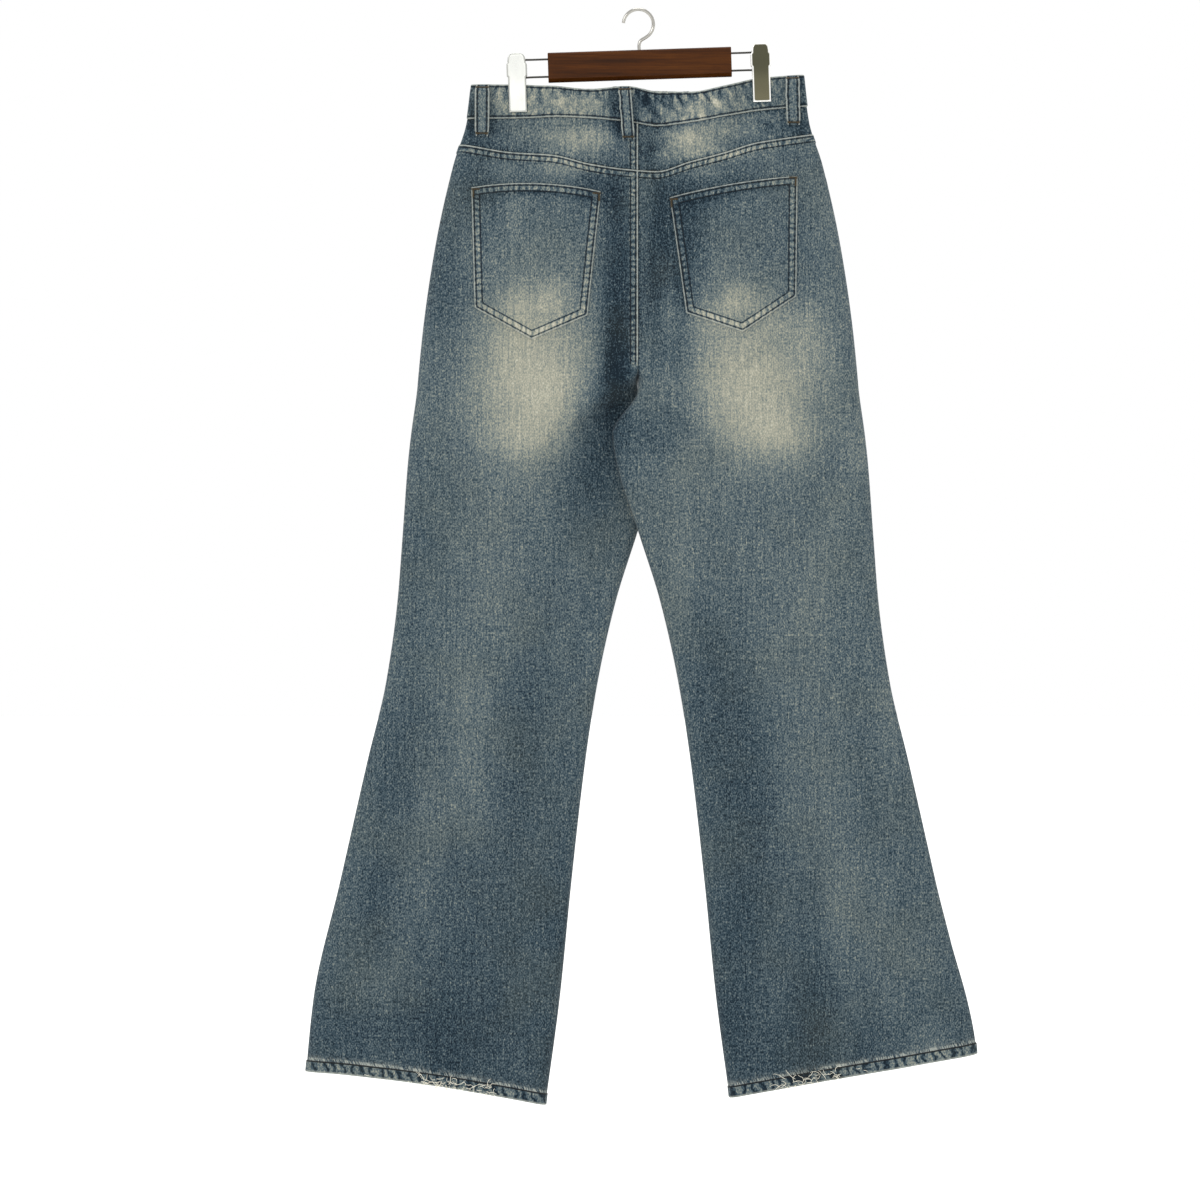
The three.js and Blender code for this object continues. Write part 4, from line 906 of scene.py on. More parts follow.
def leg_panel(side, face, extras):
    """One leg panel, from the yoke or the front waist seam down to the turned hem."""
    middle, rows = GRID[face]
    a, b = columns_of(middle)
    line = (lambda x, drop: LINES[BACK]["yoke"](x)) if face == BACK else scoop_line(side)
    x_at = lambda drop: column_x(side, drop, a, b)
    top = crossing(line, x_at) + HALF_GAP
    hem = HEMS[side]
    foot = mix(hem["outer"], hem["inner"], (a / 255 + b) ** hem["bend"])
    body = np.linspace(0, 1, rows)[1:-1, None]
    drop = np.concatenate([
        top + TOP_ROWS[:, None], mix(top + TOP_ROWS[-1], foot - HEM_ROWS[0], body), foot - HEM_ROWS[:, None]])
    distance = from_side(side, drop, a, b)
    x, grid, normals = closed_grid(side, face, drop, a, b)
    above = drop[:, -1] < CROTCH
    normals[above, -1, 0] = 0
    normals[~above, -1] = (-side, 0, 0)
    normals = unit(normals)
    from_top, from_foot, from_inner = drop - top, foot - drop, side * x - inner_curve(drop)
    seat = (drop < CROTCH - 12) & (side == LEFT) & ((face == BACK) | (drop > FLY["long"] + 8))
    seat_rim = np.where(seat, from_inner, FAR)
    slope = np.gradient(top, x[0]) if face == FRONT else 0
    top_rim = from_top / np.sqrt(1 + slope**2) if face == FRONT else from_top
    on_fly = np.where((face == FRONT) & (side == LEFT), fly_rim(from_inner, drop), -FAR)
    in_top = step_down(top_rim, FELL_WIDTH) * (face == BACK)
    in_seat = step_down(seat_rim, FELL_WIDTH)
    in_fly = smooth(on_fly / 0.9)
    in_hem = step_down(from_foot, HEM_HEIGHT)
    hem_rope = ripple(x, from_foot, 10.5, 0.3, side + 0.4) * in_hem
    top_rope = ripple(x, top_rim, 8.2, 0.1, side) * step_down(top_rim, FELL_WIDTH)
    seat_rope = ripple(drop, seat_rim, 9, 0.2, 0.8) * in_seat
    lift = FELL_EXTRA * np.maximum(np.maximum(in_top, in_seat), in_fly)
    lift = lift + in_hem * (HEM_EXTRA * quarter_round(from_foot / 1.2) + 0.28 * hem_rope)
    lift = lift + 0.2 * top_rope * (from_top > 1) + 0.2 * seat_rope * (seat_rim > 1)
    outer = grid + normals * lift[..., None]
    inner = grid - normals * WALL
    along_drop = np.minimum(seat_rim, distance) < 14
    run = np.where(from_foot < 15, 0.66 * x + 0.2 * from_foot, np.where(along_drop, drop, x))
    in_rows = np.maximum(step_down(top_rim, FELL_WIDTH), in_seat)
    from_side_seam = np.hypot(distance, grid[..., 1])
    rope = np.maximum(0.42 * in_hem, np.maximum(0.32 * in_rows, 0.24 * np.exp(-from_side_seam / 4)))
    tone = wear_and_shade_at(face, x, drop)
    # Painted shadow along the seat seam, where the right half's edge lies under the left half's.
    tone = tone - 0.3 * under_seam_shadow(side, from_inner, drop)
    tone = tone + 0.1 * in_hem + 0.16 * in_rows - 0.4 * np.exp(-from_side_seam / 1.2)
    fields = {
        "flat": weave_over(grid, face),
        "wear_and_shade": tone,
        "rim": np.minimum(top_rim, seat_rim),
        "lip": np.minimum(from_foot, FAR),
        "fly": on_fly,
        "rope": rope,
        "run": run,
    }
    return cloth_piece(f"{PLACE[face]}_leg_{WORD[side]}", f"{PLACE[face]}_panel_{WORD[side]}", outer, inner,
                       DENIM["leg"], fields, extras)


def leg_sewing(side, face):
    """The stitch rows of one leg panel."""
    s = Sewing()
    edge = outer_edge(side, 60.0)
    if face == BACK:
        x = side * np.linspace(1.5, edge + 14, 90)
        x = x[side * x < outer_edge(side, LINES[BACK]["yoke"](x)) - 1.5]
        for row in SEAM_ROWS:
            s.on(BACK, x, LINES[BACK]["yoke"](x) + HALF_GAP + row, FELL_EXTRA + 0.05, side)
    else:
        start = np.linspace(1.0, SCOOP["wide"], 50)
        x = side * (outer_edge(side, 60.0 + 0 * start) - start)
        drop = LINES[FRONT]["seam"](x) + scoop_drop(start)
        slope = np.gradient(drop, start)
        for row in SEAM_ROWS:
            length = np.sqrt(1 + slope**2)
            s.on(FRONT, x + side * slope / length * row, drop + HALF_GAP + row / length, 0.05, side)
    if side == LEFT:
        begin = 104 if face == BACK else FLY["long"] + 12
        for row in SEAM_ROWS:
            s.on(face, np.full(60, -row), np.linspace(begin, CROTCH - 14, 60), FELL_EXTRA + 0.05, LEFT)
    if side == LEFT and face == FRONT:
        turn = np.linspace(0, np.pi / 2, 16)
        for row in SEAM_ROWS:
            half = FLY["wide"] - row
            x = np.concatenate([np.full(30, -half), -half * np.cos(turn[1:])])
            straight = np.linspace(LINES[FRONT]["seam"](-half) + 2, FLY["bend"], 30)
            drop = np.concatenate([straight, FLY["bend"] + half * np.sin(turn[1:])])
            s.on(FRONT, x, drop, FELL_EXTRA + 0.05, LEFT)
    hem = HEMS[side]
    width = outer_edge(side, 1060.0) - inner_curve(1060.0)
    share = np.linspace(0.008, 0.992, 110)
    drop = mix(hem["outer"], hem["inner"], share ** hem["bend"]) - HEM_ROW
    x = side * (outer_edge(side, drop) - share * width)
    s.on(face, x, drop, HEM_EXTRA * 0.7, side)
    return s.build(f"stitches_{PLACE[face]}_leg_{WORD[side]}", NAVY)


# Yoke, waistband and pockets

def yoke(side, extras):
    a, b = columns_of(64)
    x_at = lambda drop: column_x(side, drop, a, b)
    head = crossing(lambda x, drop: LINES[BACK]["seam"](x), x_at) + HALF_GAP
    foot = crossing(lambda x, drop: LINES[BACK]["yoke"](x), x_at) - HALF_GAP
    share = np.concatenate([[0, 0.012, 0.03], np.linspace(0.06, 0.94, 20), [0.97, 0.988, 1]])[:, None]
    drop = mix(head, foot, share)
    x, grid, normals = closed_grid(side, BACK, drop, a, b)
    normals[:, -1, 0] = 0
    normals = unit(normals)
    from_inner = side * x - inner_curve(drop)
    seat_rim = np.where(side == LEFT, from_inner, FAR)
    raised = step_down(seat_rim, FELL_WIDTH)
    rope = ripple(drop, seat_rim, 9, 0.2, 0.8) * raised
    near_seams = np.exp(-(foot - drop) / 5) + np.exp(-(drop - head) / 5)
    rope = rope + 0.7 * ripple(x, drop, 9, 0.1, side) * near_seams * (1 - raised)
    outer = grid + normals * (0.5 * raised + 0.16 * rope)[..., None]
    # Painted shadow: narrow dark lines along the yoke's foot, beside the raised felled seam, and along its
    # head, under the waistband.
    tone = wear_and_shade_at(BACK, x, drop) - 0.22 * np.exp(-(foot - drop) / 2.2) - 0.34 * np.exp(-(drop - head) / 2.2)
    # Painted shadow along the seat seam, where the right half's edge lies under the left half's.
    tone = tone - 0.3 * under_seam_shadow(side, from_inner, drop) + 0.1 * raised
    fields = {
        "flat": weave_over(grid, BACK),
        "wear_and_shade": tone,
        "rim": seat_rim,
        "lip": FAR,
        "rope": 0.28 * raised + 0.16 * near_seams * (1 - raised),
        "run": np.where(raised > 0.02, drop, x),
    }
    name = f"back_yoke_{WORD[side]}"
    return cloth_piece(name, f"yoke_{WORD[side]}", outer, grid - normals * WALL, DENIM["yoke"], fields,
                       extras)


def waistband(side, extras):
    """Half the waistband, from the centre back round the side to the fly."""
    a, b = columns_of(70)
    fly = -FLY["lap"] if side == LEFT else FLY["lap"] + 2 * HALF_GAP
    count = len(a)
    stations = []
    for face, order in ((BACK, range(count - 1, -1, -1)), (FRONT, range(1, count))):
        for j in order:
            at = lambda drop, j=j: column_x(side, drop, a[j], b[j])
            if face == FRONT and side * at(20.0) < fly + 2:
                break
            stations.append((face, at, j == 0))
    for step in ((5, 0.5, -3, -6.5, -9) if side == LEFT else (FLY["lap"] + 0.4,)):
        stations.append((FRONT, lambda drop, x=side * step: x, False))
    share = np.concatenate([[0, 0.01, 0.025, 0.05], np.linspace(0.09, 0.94, 18), [0.97, 0.985, 1]])
    grid, tone, rims = [], [], []
    for face, at, edge in stations:
        meet = lambda line: crossing(lambda x, drop: line(x), at)
        head, foot = meet(LINES[face]["top"]), meet(LINES[face]["seam"]) - HALF_GAP
        drop = mix(head, foot, share)
        x = sewn_shut(at(drop) + 0 * drop, drop)
        y = 0 * x if edge else cloth_y(side if face == BACK else np.where(x < 0, LEFT, RIGHT), face, x, drop)
        grid.append(np.stack([x, y, WAIST_Z - drop], -1))
        tone.append(wear_and_shade_at(face, x, drop))
        rims.append(np.stack([drop - head, foot - drop], -1))
    grid, tone, rims = (np.swapaxes(np.array(v), 0, 1) for v in (grid, tone, rims))
    normals = np.cross(np.gradient(grid, axis=0), np.gradient(grid, axis=1)) * side
    normals[:, [0, -1], 0] = 0
    normals[:, count - 1, 1] = 0
    normals = unit(normals)
    rim = rims.min(-1)
    run = np.cumsum(np.linalg.norm(np.gradient(grid[0], axis=0), axis=1))[None, :] + 0 * rim
    low = rims[..., 1] < rims[..., 0]
    drawn_in = np.exp(-((rim - 3) / 5.5) ** 2) * np.where(low, 0.6, 1)
    rope = ripple(run, rim, 9.5, 0.25, 1.3 + side) * drawn_in
    held = 1 - nip(grid[..., 0], WAIST_Z - grid[..., 2])
    lift = BAND_EXTRA * quarter_round(rim / 1.3) + 0.24 * rope * held
    fields = {
        "flat": np.stack([side * run, WAIST_Z - grid[..., 2], 0 * run], -1),
        "wear_and_shade": tone,
        "rim": rim,
        "lip": FAR,
        "rope": 0.34 * drawn_in,
        "run": 0.75 * run,
    }
    return cloth_piece(f"band_{WORD[side]}", f"waistband_{WORD[side]}", grid + normals * lift[..., None],
                       grid - normals * WALL, DENIM["band"], fields, extras)


def band_sewing(side):
    s = Sewing()
    for face in (BACK, FRONT):
        lines = LINES[face]
        inner = 1.0 if face == BACK else (FLY["lap"] + 1 if side == RIGHT else -FLY["lap"] + 2)
        x = side * np.linspace(inner, 171, 90)
        x = x[side * x < outer_edge(side, lines["top"](x)) - 2]
        s.on(face, x, lines["top"](x) + BAND_ROWS[0], BAND_EXTRA + 0.05)
        s.on(face, x, lines["seam"](x) - HALF_GAP - BAND_ROWS[0], BAND_EXTRA + 0.05)
    return s.build(f"stitches_band_{WORD[side]}", NAVY)


def pocket_outline(side, t, down):
    """A place on a pocket: t runs from the outer side to the inner one and down from the mouth."""
    p = {key: np.array(value, float) for key, value in POCKETS[side].items()}
    t, down = np.broadcast_arrays(t, down)
    t1, down = t[..., None], down[..., None]
    mouth = mix(p["top_outer"], p["top_inner"], t1)
    mouth = mouth - np.concatenate([0 * t1, p["crown"] * 4 * t1 * (1 - t1)], -1)
    low = mix(p["bottom_outer"], p["tip"], 2 * t1)
    high = mix(p["tip"], p["bottom_inner"], 2 * t1 - 1)
    return mix(mouth, np.where(t1 < 0.5, low, high), down)


def distance_to(corner_a, corner_b, places):
    """Distance of places from the straight line through two corners."""
    a, b = np.array(corner_a, float), np.array(corner_b, float)
    along = (b - a) / np.linalg.norm(b - a)
    away = places - a
    return abs(away[..., 0] * along[1] - away[..., 1] * along[0])


def back_pocket(side, extras):
    p = POCKETS[side]
    t = np.concatenate([[0, 0.004, 0.012, 0.024, 0.04], np.linspace(0.06, 0.94, 55),
                        [0.96, 0.976, 0.988, 0.996, 1]])
    down = np.concatenate([[0, 0.004, 0.012, 0.03, 0.045, 0.058, 0.064, 0.071, 0.085],
                           np.linspace(0.1, 0.96, 56), [0.97, 0.982, 0.993, 1]])[:, None]
    place = pocket_outline(side, t, down)
    x, drop = place[..., 0], place[..., 1]
    bottoms = np.minimum(distance_to(p["tip"], p["bottom_outer"], place),
                         distance_to(p["tip"], p["bottom_inner"], place))
    sides = np.minimum(distance_to(p["top_outer"], p["bottom_outer"], place),
                       distance_to(p["top_inner"], p["bottom_inner"], place))
    mouth = drop - pocket_outline(side, t, 0 * down)[..., 1]
    rim = np.minimum(np.minimum(bottoms, sides), mouth)
    in_hem = step_down(mouth, FELL_WIDTH)
    in_rim = step_down(rim, FELL_WIDTH)
    run = np.where(mouth < 10, x, np.where(bottoms < sides, x, drop))
    rope = ripple(run, rim, 8.5, 0.15, 2.1 * side) * in_rim
    lift = POCKET_LIFT + WALL * quarter_round(rim / 1.0)
    lift = lift + FELL_EXTRA * in_hem * smooth(rim) + 0.2 * rope * smooth(rim)
    puffed = 1.6 * smooth(rim / 30) * smooth(mouth / 40)
    outer = on_cloth(BACK, x, drop, lift + puffed)[0]
    fields = {
        "flat": np.stack([x, drop, 0 * x], -1),
        "wear_and_shade": wear_and_shade_at(BACK, x, drop) + 0.13 * in_rim - 0.1 * np.exp(-((mouth - 11) / 3) ** 2),
        "rim": rim,
        "lip": FAR,
        "rope": 0.26 * in_rim,
        "run": run,
    }
    return cloth_piece(f"seat_pocket_{WORD[side]}", f"back_pocket_{WORD[side]}", outer,
                       on_cloth(BACK, x, drop, POCKET_LIFT)[0], DENIM["pocket"], fields,
                       extras)


def pocket_sewing(side):
    """Two rows round the sides and the bottom, two across the mouth, and a tack at each top corner."""
    s, tacks = Sewing(), Sewing()
    p = POCKETS[side]
    round_foot = ("top_outer", "bottom_outer", "tip", "bottom_inner", "top_inner")
    corners = [np.array(p[key], float) for key in round_foot]
    middle = sum(corners) / len(corners)
    for row in POCKET_ROWS:
        lines = []
        for a, b in zip(corners, corners[1:]):
            along = (b - a) / np.linalg.norm(b - a)
            inward = np.array([-along[1], along[0]])
            inward *= np.sign(inward @ (middle - a))
            lines.append((a + inward * row, along))
        turned = [lines[0][0] + lines[0][1] * (row if row > 5 else 1.5)]
        for (a, u), (b, v) in zip(lines, lines[1:]):
            reach = ((b - a)[0] * v[1] - (b - a)[1] * v[0]) / (u[0] * v[1] - u[1] * v[0])
            turned.append(a + u * reach)
        last, u = lines[-1]
        turned.append(last + u * (np.linalg.norm(corners[-1] - corners[-2]) - (row if row > 5 else 1.5)))
        for a, b in zip(turned, turned[1:]):
            path = mix(a, b, np.linspace(0, 1, 40)[:, None])
            s.on(BACK, path[:, 0], path[:, 1], POCKET_LIFT + WALL + 0.1)
        t = np.linspace(0.02, 0.98, 60)
        mouth = pocket_outline(side, t, 0 * t)
        s.on(BACK, mouth[:, 0], mouth[:, 1] + row, POCKET_LIFT + WALL + FELL_EXTRA + 0.05)
    for corner, inward in ((corners[0], side), (corners[-1], -side)):
        x, drop = corner[0] - inward * 4.6, corner[1] + 2.0
        tacks.tack(BACK, x, drop, 0.0, POCKET_LIFT + WALL + FELL_EXTRA + 0.1, 8, 2.8)
        tacks.tack(BACK, corner[0] - inward * 2.2, drop + 4.8, math.pi / 2,
                   POCKET_LIFT + WALL + FELL_EXTRA + 0.1, 7, 2.6)
    name = WORD[side]
    return s.build(f"stitches_pocket_{name}", NAVY), tacks.build(f"tacks_pocket_{name}", RUST)


def pocket_facing(side):
    """The cloth that shows in the scoop of a front pocket, behind the front panel."""
    fromside = np.concatenate([OUTER_STEPS, np.linspace(23, FACING["wide"], 40)])
    share = np.linspace(0, 1, 24)[:, None]
    drop = 60.0 + 0 * share * fromside
    for _ in range(8):
        x = side * (outer_edge(side, drop) - fromside)
        start = LINES[FRONT]["seam"](x) + FACING["behind"]
        drop = start + share * (scoop_drop(fromside + 0 * share) + FACING["under"])
    grid = np.stack([x, cloth_y(side, FRONT, x, drop), WAIST_Z - drop], -1)
    normals = grid_normals(grid, FRONT)
    normals[:, 0, 1] = 0
    normals = unit(normals)
    sunk = (WALL + 0.1 + FACING["behind"]) * (1 - nip(x, drop) ** 2)
    outer = grid - normals * sunk[..., None]
    fields = {"flat": np.stack([x, drop, 0 * x], -1), "wear_and_shade": wear_and_shade_at(FRONT, x, drop) - 0.14,
              "rim": FAR, "lip": FAR, "rope": 0.0, "run": 0.0}
    return cloth_piece(f"pocket_facing_{WORD[side]}", f"front_pocket_facing_{WORD[side]}", outer,
                       outer - normals * 1.1, DENIM["leg"], fields)


def belt_loop(name, face, top, bottom):
    """A loop sewn down at both ends and arched over the waistband, with its stitches and tacks."""
    t = np.concatenate([[0, 0.008], np.linspace(0.025, 0.975, 44), [0.992, 1]])
    across = np.array([-1, -0.93, -0.84, -0.7, -0.5, -0.25, 0, 0.25, 0.5, 0.7, 0.84, 0.93, 1])
    centre = mix(top, bottom, t)
    seam = LINES[face]["seam"](centre)
    start = LINES[face]["top"](centre) + LOOP["top"]
    drop = mix(start, seam + LOOP["below"], t)
    on_band = 1 - smooth((drop - seam + 1) / 6)
    stand = smooth(t / LOOP["ramp"]) * smooth((1 - t) / LOOP["ramp"])
    lift = LOOP["seat"] + BAND_EXTRA * np.maximum(on_band, stand) + LOOP["arch"] * stand
    spread = [on_cloth(face, centre + share * LOOP["half"], drop, lift)[0] for share in (-1, 0, 1)]
    level = (spread[0] + spread[2]) / 2
    bulge = np.maximum(0, face * (spread[1][:, 1] - level[:, 1]))
    share = across[None, :, None]
    base = mix(spread[0][:, None], spread[2][:, None], (share + 1) / 2)
    base[..., 1] += face * bulge[:, None]
    rim = LOOP["half"] * (1 - abs(across))[None, :] + 0 * t[:, None]
    run = drop[:, None] + 0 * rim
    drawn_in = np.exp(-((rim - 1.9) / 2.2) ** 2)
    rope = ripple(run, rim, 7.5, 0.2, top / 9) * drawn_in
    outer = base.copy()
    outer[..., 1] += face * (LOOP["wall"] * (0.35 + 0.65 * quarter_round(rim / 1.1)) + 0.12 * rope)
    x = base[..., 0]
    fields = {"flat": np.stack([x, run, 0 * x], -1), "rope": 0.25 * drawn_in, "run": run, "rim": rim,
              "lip": FAR, "wear_and_shade": 0.52 + 0 * x - 0.14 * (1 - stand[:, None])}
    sewing, tacks = Sewing(), Sewing()
    out = np.zeros((len(t), 3))
    out[:, 1] = face
    for offset in (-1, 1):
        line = mix(spread[0], spread[2], 0.5 + offset * (0.5 - LOOP_ROWS[0] / LOOP["half"] / 2))
        line[:, 1] += face * (bulge + LOOP["wall"] + 0.05)
        sewing.row(line, out)
    places = np.linspace(1.2, len(across) - 2.2, 19)
    for first, last in ((2, 4), (len(t) - 5, len(t) - 3)):
        ends = [at_index(outer[row], places) + 0.25 * out[:1] for row in (first, last)]
        tacks.add(*spindles(ends[0], ends[1], np.tile(out[0], (len(places), 1)), TACK["radius"]))
    extras = [sewing.build(f"stitches_loop_{name}", NAVY), tacks.build(f"tacks_loop_{name}", RUST)]
    return cloth_piece(f"loop_{name}", f"belt_loop_{name}", outer, base, DENIM["loop"], fields,
                       extras)


def zip_tape():
    """The zip's tape behind the closed fly, with its teeth."""
    x = np.linspace(-ZIP["half"], ZIP["half"], 25)[None, :]
    share = np.linspace(0, 1, 60)[:, None]
    drop = mix(LINES[FRONT]["seam"](x) + 1, ZIP["bottom"], share)
    middle = 1 - smooth((abs(x) - ZIP["bed"]) / (ZIP["shoulder"] - ZIP["bed"]))
    sunk = WALL + 0.4 + ZIP["channel"] * middle * smooth((1 - share) * 10 / 3)
    x = x + 0 * share
    outer = on_cloth(FRONT, x, drop, -sunk)[0]
    inner = on_cloth(FRONT, x, drop, -sunk - 0.9)[0]
    teeth = Sewing()
    at = np.arange(LINES[FRONT]["seam"](0.0) + 6, ZIP["bottom"] - 8, 1.9)
    for turn, side in enumerate((LEFT, RIGHT)):
        place = at + turn * 0.95
        deep = -(WALL + 0.4 + ZIP["channel"] * smooth((ZIP["bottom"] - place) / 40)) + 0.35
        starts = on_cloth(FRONT, side * 2.6 + 0 * place, place, deep)
        ends = on_cloth(FRONT, -side * 0.7 + 0 * place, place, deep)
        teeth.add(*spindles(starts[0], ends[0], starts[1], 0.5))
    fields = {"flat": np.stack([x, drop, 0 * x], -1)}
    return cloth_piece("fly_tape", "zip_tape", outer, inner, woven_tape("zip_tape_cloth"), fields,
                       [teeth.build("zip_teeth", BRASS, "brass")], "zip_tape")


# Frayed hems

def strand(points, radius, sides=4):
    """A thin closed tube along a few points."""
    path = at_index(points, np.linspace(0, len(points) - 1, len(points) * 2 - 1))
    direction = unit(np.gradient(path, axis=0))
    across = unit(np.cross(direction, np.array([0.3, 1, 0.2])))
    up = np.cross(direction, across)
    thin = radius * np.linspace(1, 0.6, len(path))[:, None, None]
    tube = (path[:, None] + thin * circle(across, up, sides)).reshape(-1, 3)
    quads = ring_faces(len(path), sides)
    walls = np.stack([quads[:, [0, 1, 2]], quads[:, [0, 2, 3]]], 1).reshape(-1, 3)
    end = (len(path) - 1) * sides
    caps = [(2, 1, 0), (3, 2, 0), (end, end + 1, end + 2), (end, end + 2, end + 3)]
    return tube, np.concatenate([walls, caps])


# Where the hems are worn through: side, x of both ends, how many threads, and how long they are
FRAYS = [
    (LEFT, -241, -206, 34, 11), (LEFT, -206, -168, 34, 12), (LEFT, -168, -144, 18, 10),
    (RIGHT, 150, 186, 36, 13), (RIGHT, 188, 214, 20, 11), (RIGHT, 230, 246, 4, 7), (LEFT, -300, -262, 5, 6),
]
FRAY_RADIUS = 0.27
FRAY_POINTS = 7


def foot_at(side, x):
    share = (outer_edge(side, 1050.0) - side * x) / (outer_edge(side, 1050.0) - inner_curve(1060.0))
    return mix(HEMS[side]["outer"], HEMS[side]["inner"], np.clip(share, 0, 1) ** HEMS[side]["bend"])


def fraying(side):
    s = Sewing()
    for where, x0, x1, count, long in FRAYS:
        if where != side:
            continue
        for _ in range(count):
            x = rng.uniform(x0, x1)
            hanging = rng.random() < 0.4
            up = rng.uniform(0.2, 2 if hanging else 9)
            heading = rng.normal(math.pi / 2, 0.6) if hanging else rng.normal(0, 0.7)
            bend = rng.choice((LEFT, RIGHT)) * rng.uniform(0.3, 2.6)
            angle = heading + bend * (np.linspace(0, 1, FRAY_POINTS) - 0.5) + rng.normal(0, 0.2, FRAY_POINTS)
            step = long * rng.uniform(0.5, 1.3) * (0.5 if hanging else 1) / FRAY_POINTS
            px = x + np.cumsum(np.cos(angle)) * step * rng.choice((LEFT, RIGHT))
            pd = foot_at(side, x) - up + np.cumsum(np.sin(angle)) * step
            arch = np.sin(np.linspace(0, np.pi, FRAY_POINTS))
            lift = HEM_EXTRA + 0.15 + arch * rng.uniform(0.4, 1.4)
            low = np.minimum(pd, foot_at(side, px) - 0.3)
            points = on_cloth(BACK, px, low, lift, side)[0]
            points[:, 2] -= np.minimum(pd - low, 5)
            s.add(*strand(points, FRAY_RADIUS))
    return s.build(f"frayed_threads_{WORD[side]}", PALE)


# Hanger, in its own upright frame, then tipped about the hook

def tipped(points):
    x, y, z = np.moveaxis(points, -1, 0)
    return np.stack([x * math.cos(TILT) + z * math.sin(TILT), y, z * math.cos(TILT) - x * math.sin(TILT)], -1)


def wire_along(name, points, radius, node, material, steps=160, sides=16):
    """A round wire, capped flat at both ends, along a smooth line through points."""
    points = np.array(points, float)
    gaps = np.sqrt(np.linalg.norm(np.diff(points, axis=0), axis=1))
    knots = np.concatenate([[0], np.cumsum(gaps)])
    at = np.linspace(0, knots[-1], steps)
    path = np.stack([hermite(knots, v, np.gradient(v, knots), at) for v in points.T], -1)
    direction = unit(np.gradient(path, axis=0))
    across = np.tile([0.0, 1.0, 0.0], (steps, 1))
    up = np.cross(direction, across)
    tube = tipped(path[:, None] + radius * circle(across, up, sides)).reshape(-1, 3)
    faces = ring_faces(steps, sides).tolist()
    faces += [list(range(sides))[::-1], list(range((steps - 1) * sides, steps * sides))]
    obj = mesh_object(name, tube, faces, material, {"edge": np.full(len(tube), 9.0)})
    return dress(obj, "hanger_steel", node)


def hook():
    radius = HOOK["inner"] + HOOK["wire"]
    bar_top = BAR["z"] + BAR["height"] / 2
    points = [(0, 0, bar_top - HOOK["into"]), (0, 0, bar_top), (0, 0, bar_top + 5), (1.6, 0, bar_top + 9.5)]
    for i in range(17):
        angle = math.radians(-62 + HOOK["sweep"] * i / 16)
        points.append((radius * math.cos(angle), 0, -HOOK["inner"] + radius * math.sin(angle)))
    return wire_along("hook_wire", points, HOOK["wire"], "hanger_hook", BRIGHT_WIRE)


def rail(side):
    start, bend = BAR["length"] / 2 - RAIL["into"], RAIL["apart"] / 2
    end = abs(CLIP["x"][side]) + RAIL["past"] - bend - RAIL["wire"]
    out = [start, BAR["length"] / 2, mix(BAR["length"] / 2, end, 0.5), end]
    points = [(side * x, 0, BAR["z"] + bend) for x in out]
    for degrees in (60, 30, 0, -30, -60):
        angle = math.radians(degrees)
        points.append((side * (end + bend * math.cos(angle)), 0, BAR["z"] + bend * math.sin(angle)))
    points += [(side * x, 0, BAR["z"] - bend) for x in reversed(out)]
    return wire_along(f"rail_wire_{WORD[side]}", points, RAIL["wire"], f"hanger_rail_{WORD[side]}", DARK_WIRE)


def jaw(side, face):
    """A clip's jaw: a pressed plate with a round top, pivot ears and a bevelled edge."""
    ups = np.concatenate([[17.2], np.linspace(17, -7.5, 40), np.linspace(-9, -44, 20), [-44.5, -44.9, -45]])
    share = np.interp(-ups, -JAW["up"], JAW["share"])
    half = share * CLIP["half"]
    border = np.array([0.84, 0.9, 0.95, 0.985, 1])
    across = np.concatenate([-border[::-1], np.linspace(-0.75, 0.75, 11), border])
    start, lip = -RAIL["apart"] / 2, -CLIP["below"] + 14
    gap = mix(CLIP["gap_top"], CLIP["gap_bottom"], smooth((start - ups) / (start - lip)))
    x = CLIP["x"][side] + across[None, :] * half[:, None]
    z = CLIP["z"][side] + ups[:, None] + 0 * x
    ends = np.minimum(17.2 - ups, ups + 45)[:, None]
    edge = np.minimum(half[:, None] * (1 - abs(across))[None, :], ends)
    pressed = 0.25 * smooth((edge - 1.2) / 0.8)
    back = gap[:, None] + 0 * x
    front = back + CLIP["wall"] * (0.3 + 0.7 * quarter_round(edge / 1.0)) - pressed
    outer = tipped(np.stack([x, face * front, z], -1))
    inner = tipped(np.stack([x, face * back, z], -1))
    obj = shell(f"clip_{PLACE[face]}_{WORD[side]}", outer, inner, CLIP_STEEL_PAINTED_REFLECTIONS[side], {"edge": edge})
    return dress(obj, "hanger_steel", f"clip_{WORD[side]}_{PLACE[face]}_jaw")


def bar():
    """The wooden bar with eased edges and a wider bevel underneath."""
    y, h, low, high = BAR["depth"] / 2, BAR["height"] / 2, BAR["under_bevel"], BAR["bevel"]
    profile = [(-y + low, -h), (y - low, -h), (y, -h + low), (y, h - high), (y - high, h), (-y + high, h),
               (-y, h - high), (-y, -h + low)]
    count = len(profile)
    ends = [[(x, py, BAR["z"] + pz) for py, pz in profile] for x in (-BAR["length"] / 2, BAR["length"] / 2)]
    faces = [[k, (k + 1) % count, (k + 1) % count + count, k + count] for k in range(count)]
    faces += [list(range(count))[::-1], list(range(count, 2 * count))]
    obj = mesh_object("wooden_bar", tipped(np.array(ends[0] + ends[1])), faces, WOOD)
    bevel = obj.modifiers.new("eased_edges", "BEVEL")
    bevel.width, bevel.segments, bevel.limit_method = 0.0007, 3, "ANGLE"
    obj.modifiers.new("flat_faces", "WEIGHTED_NORMAL")
    return dress(obj, "hanger_wood", "hanger_bar")


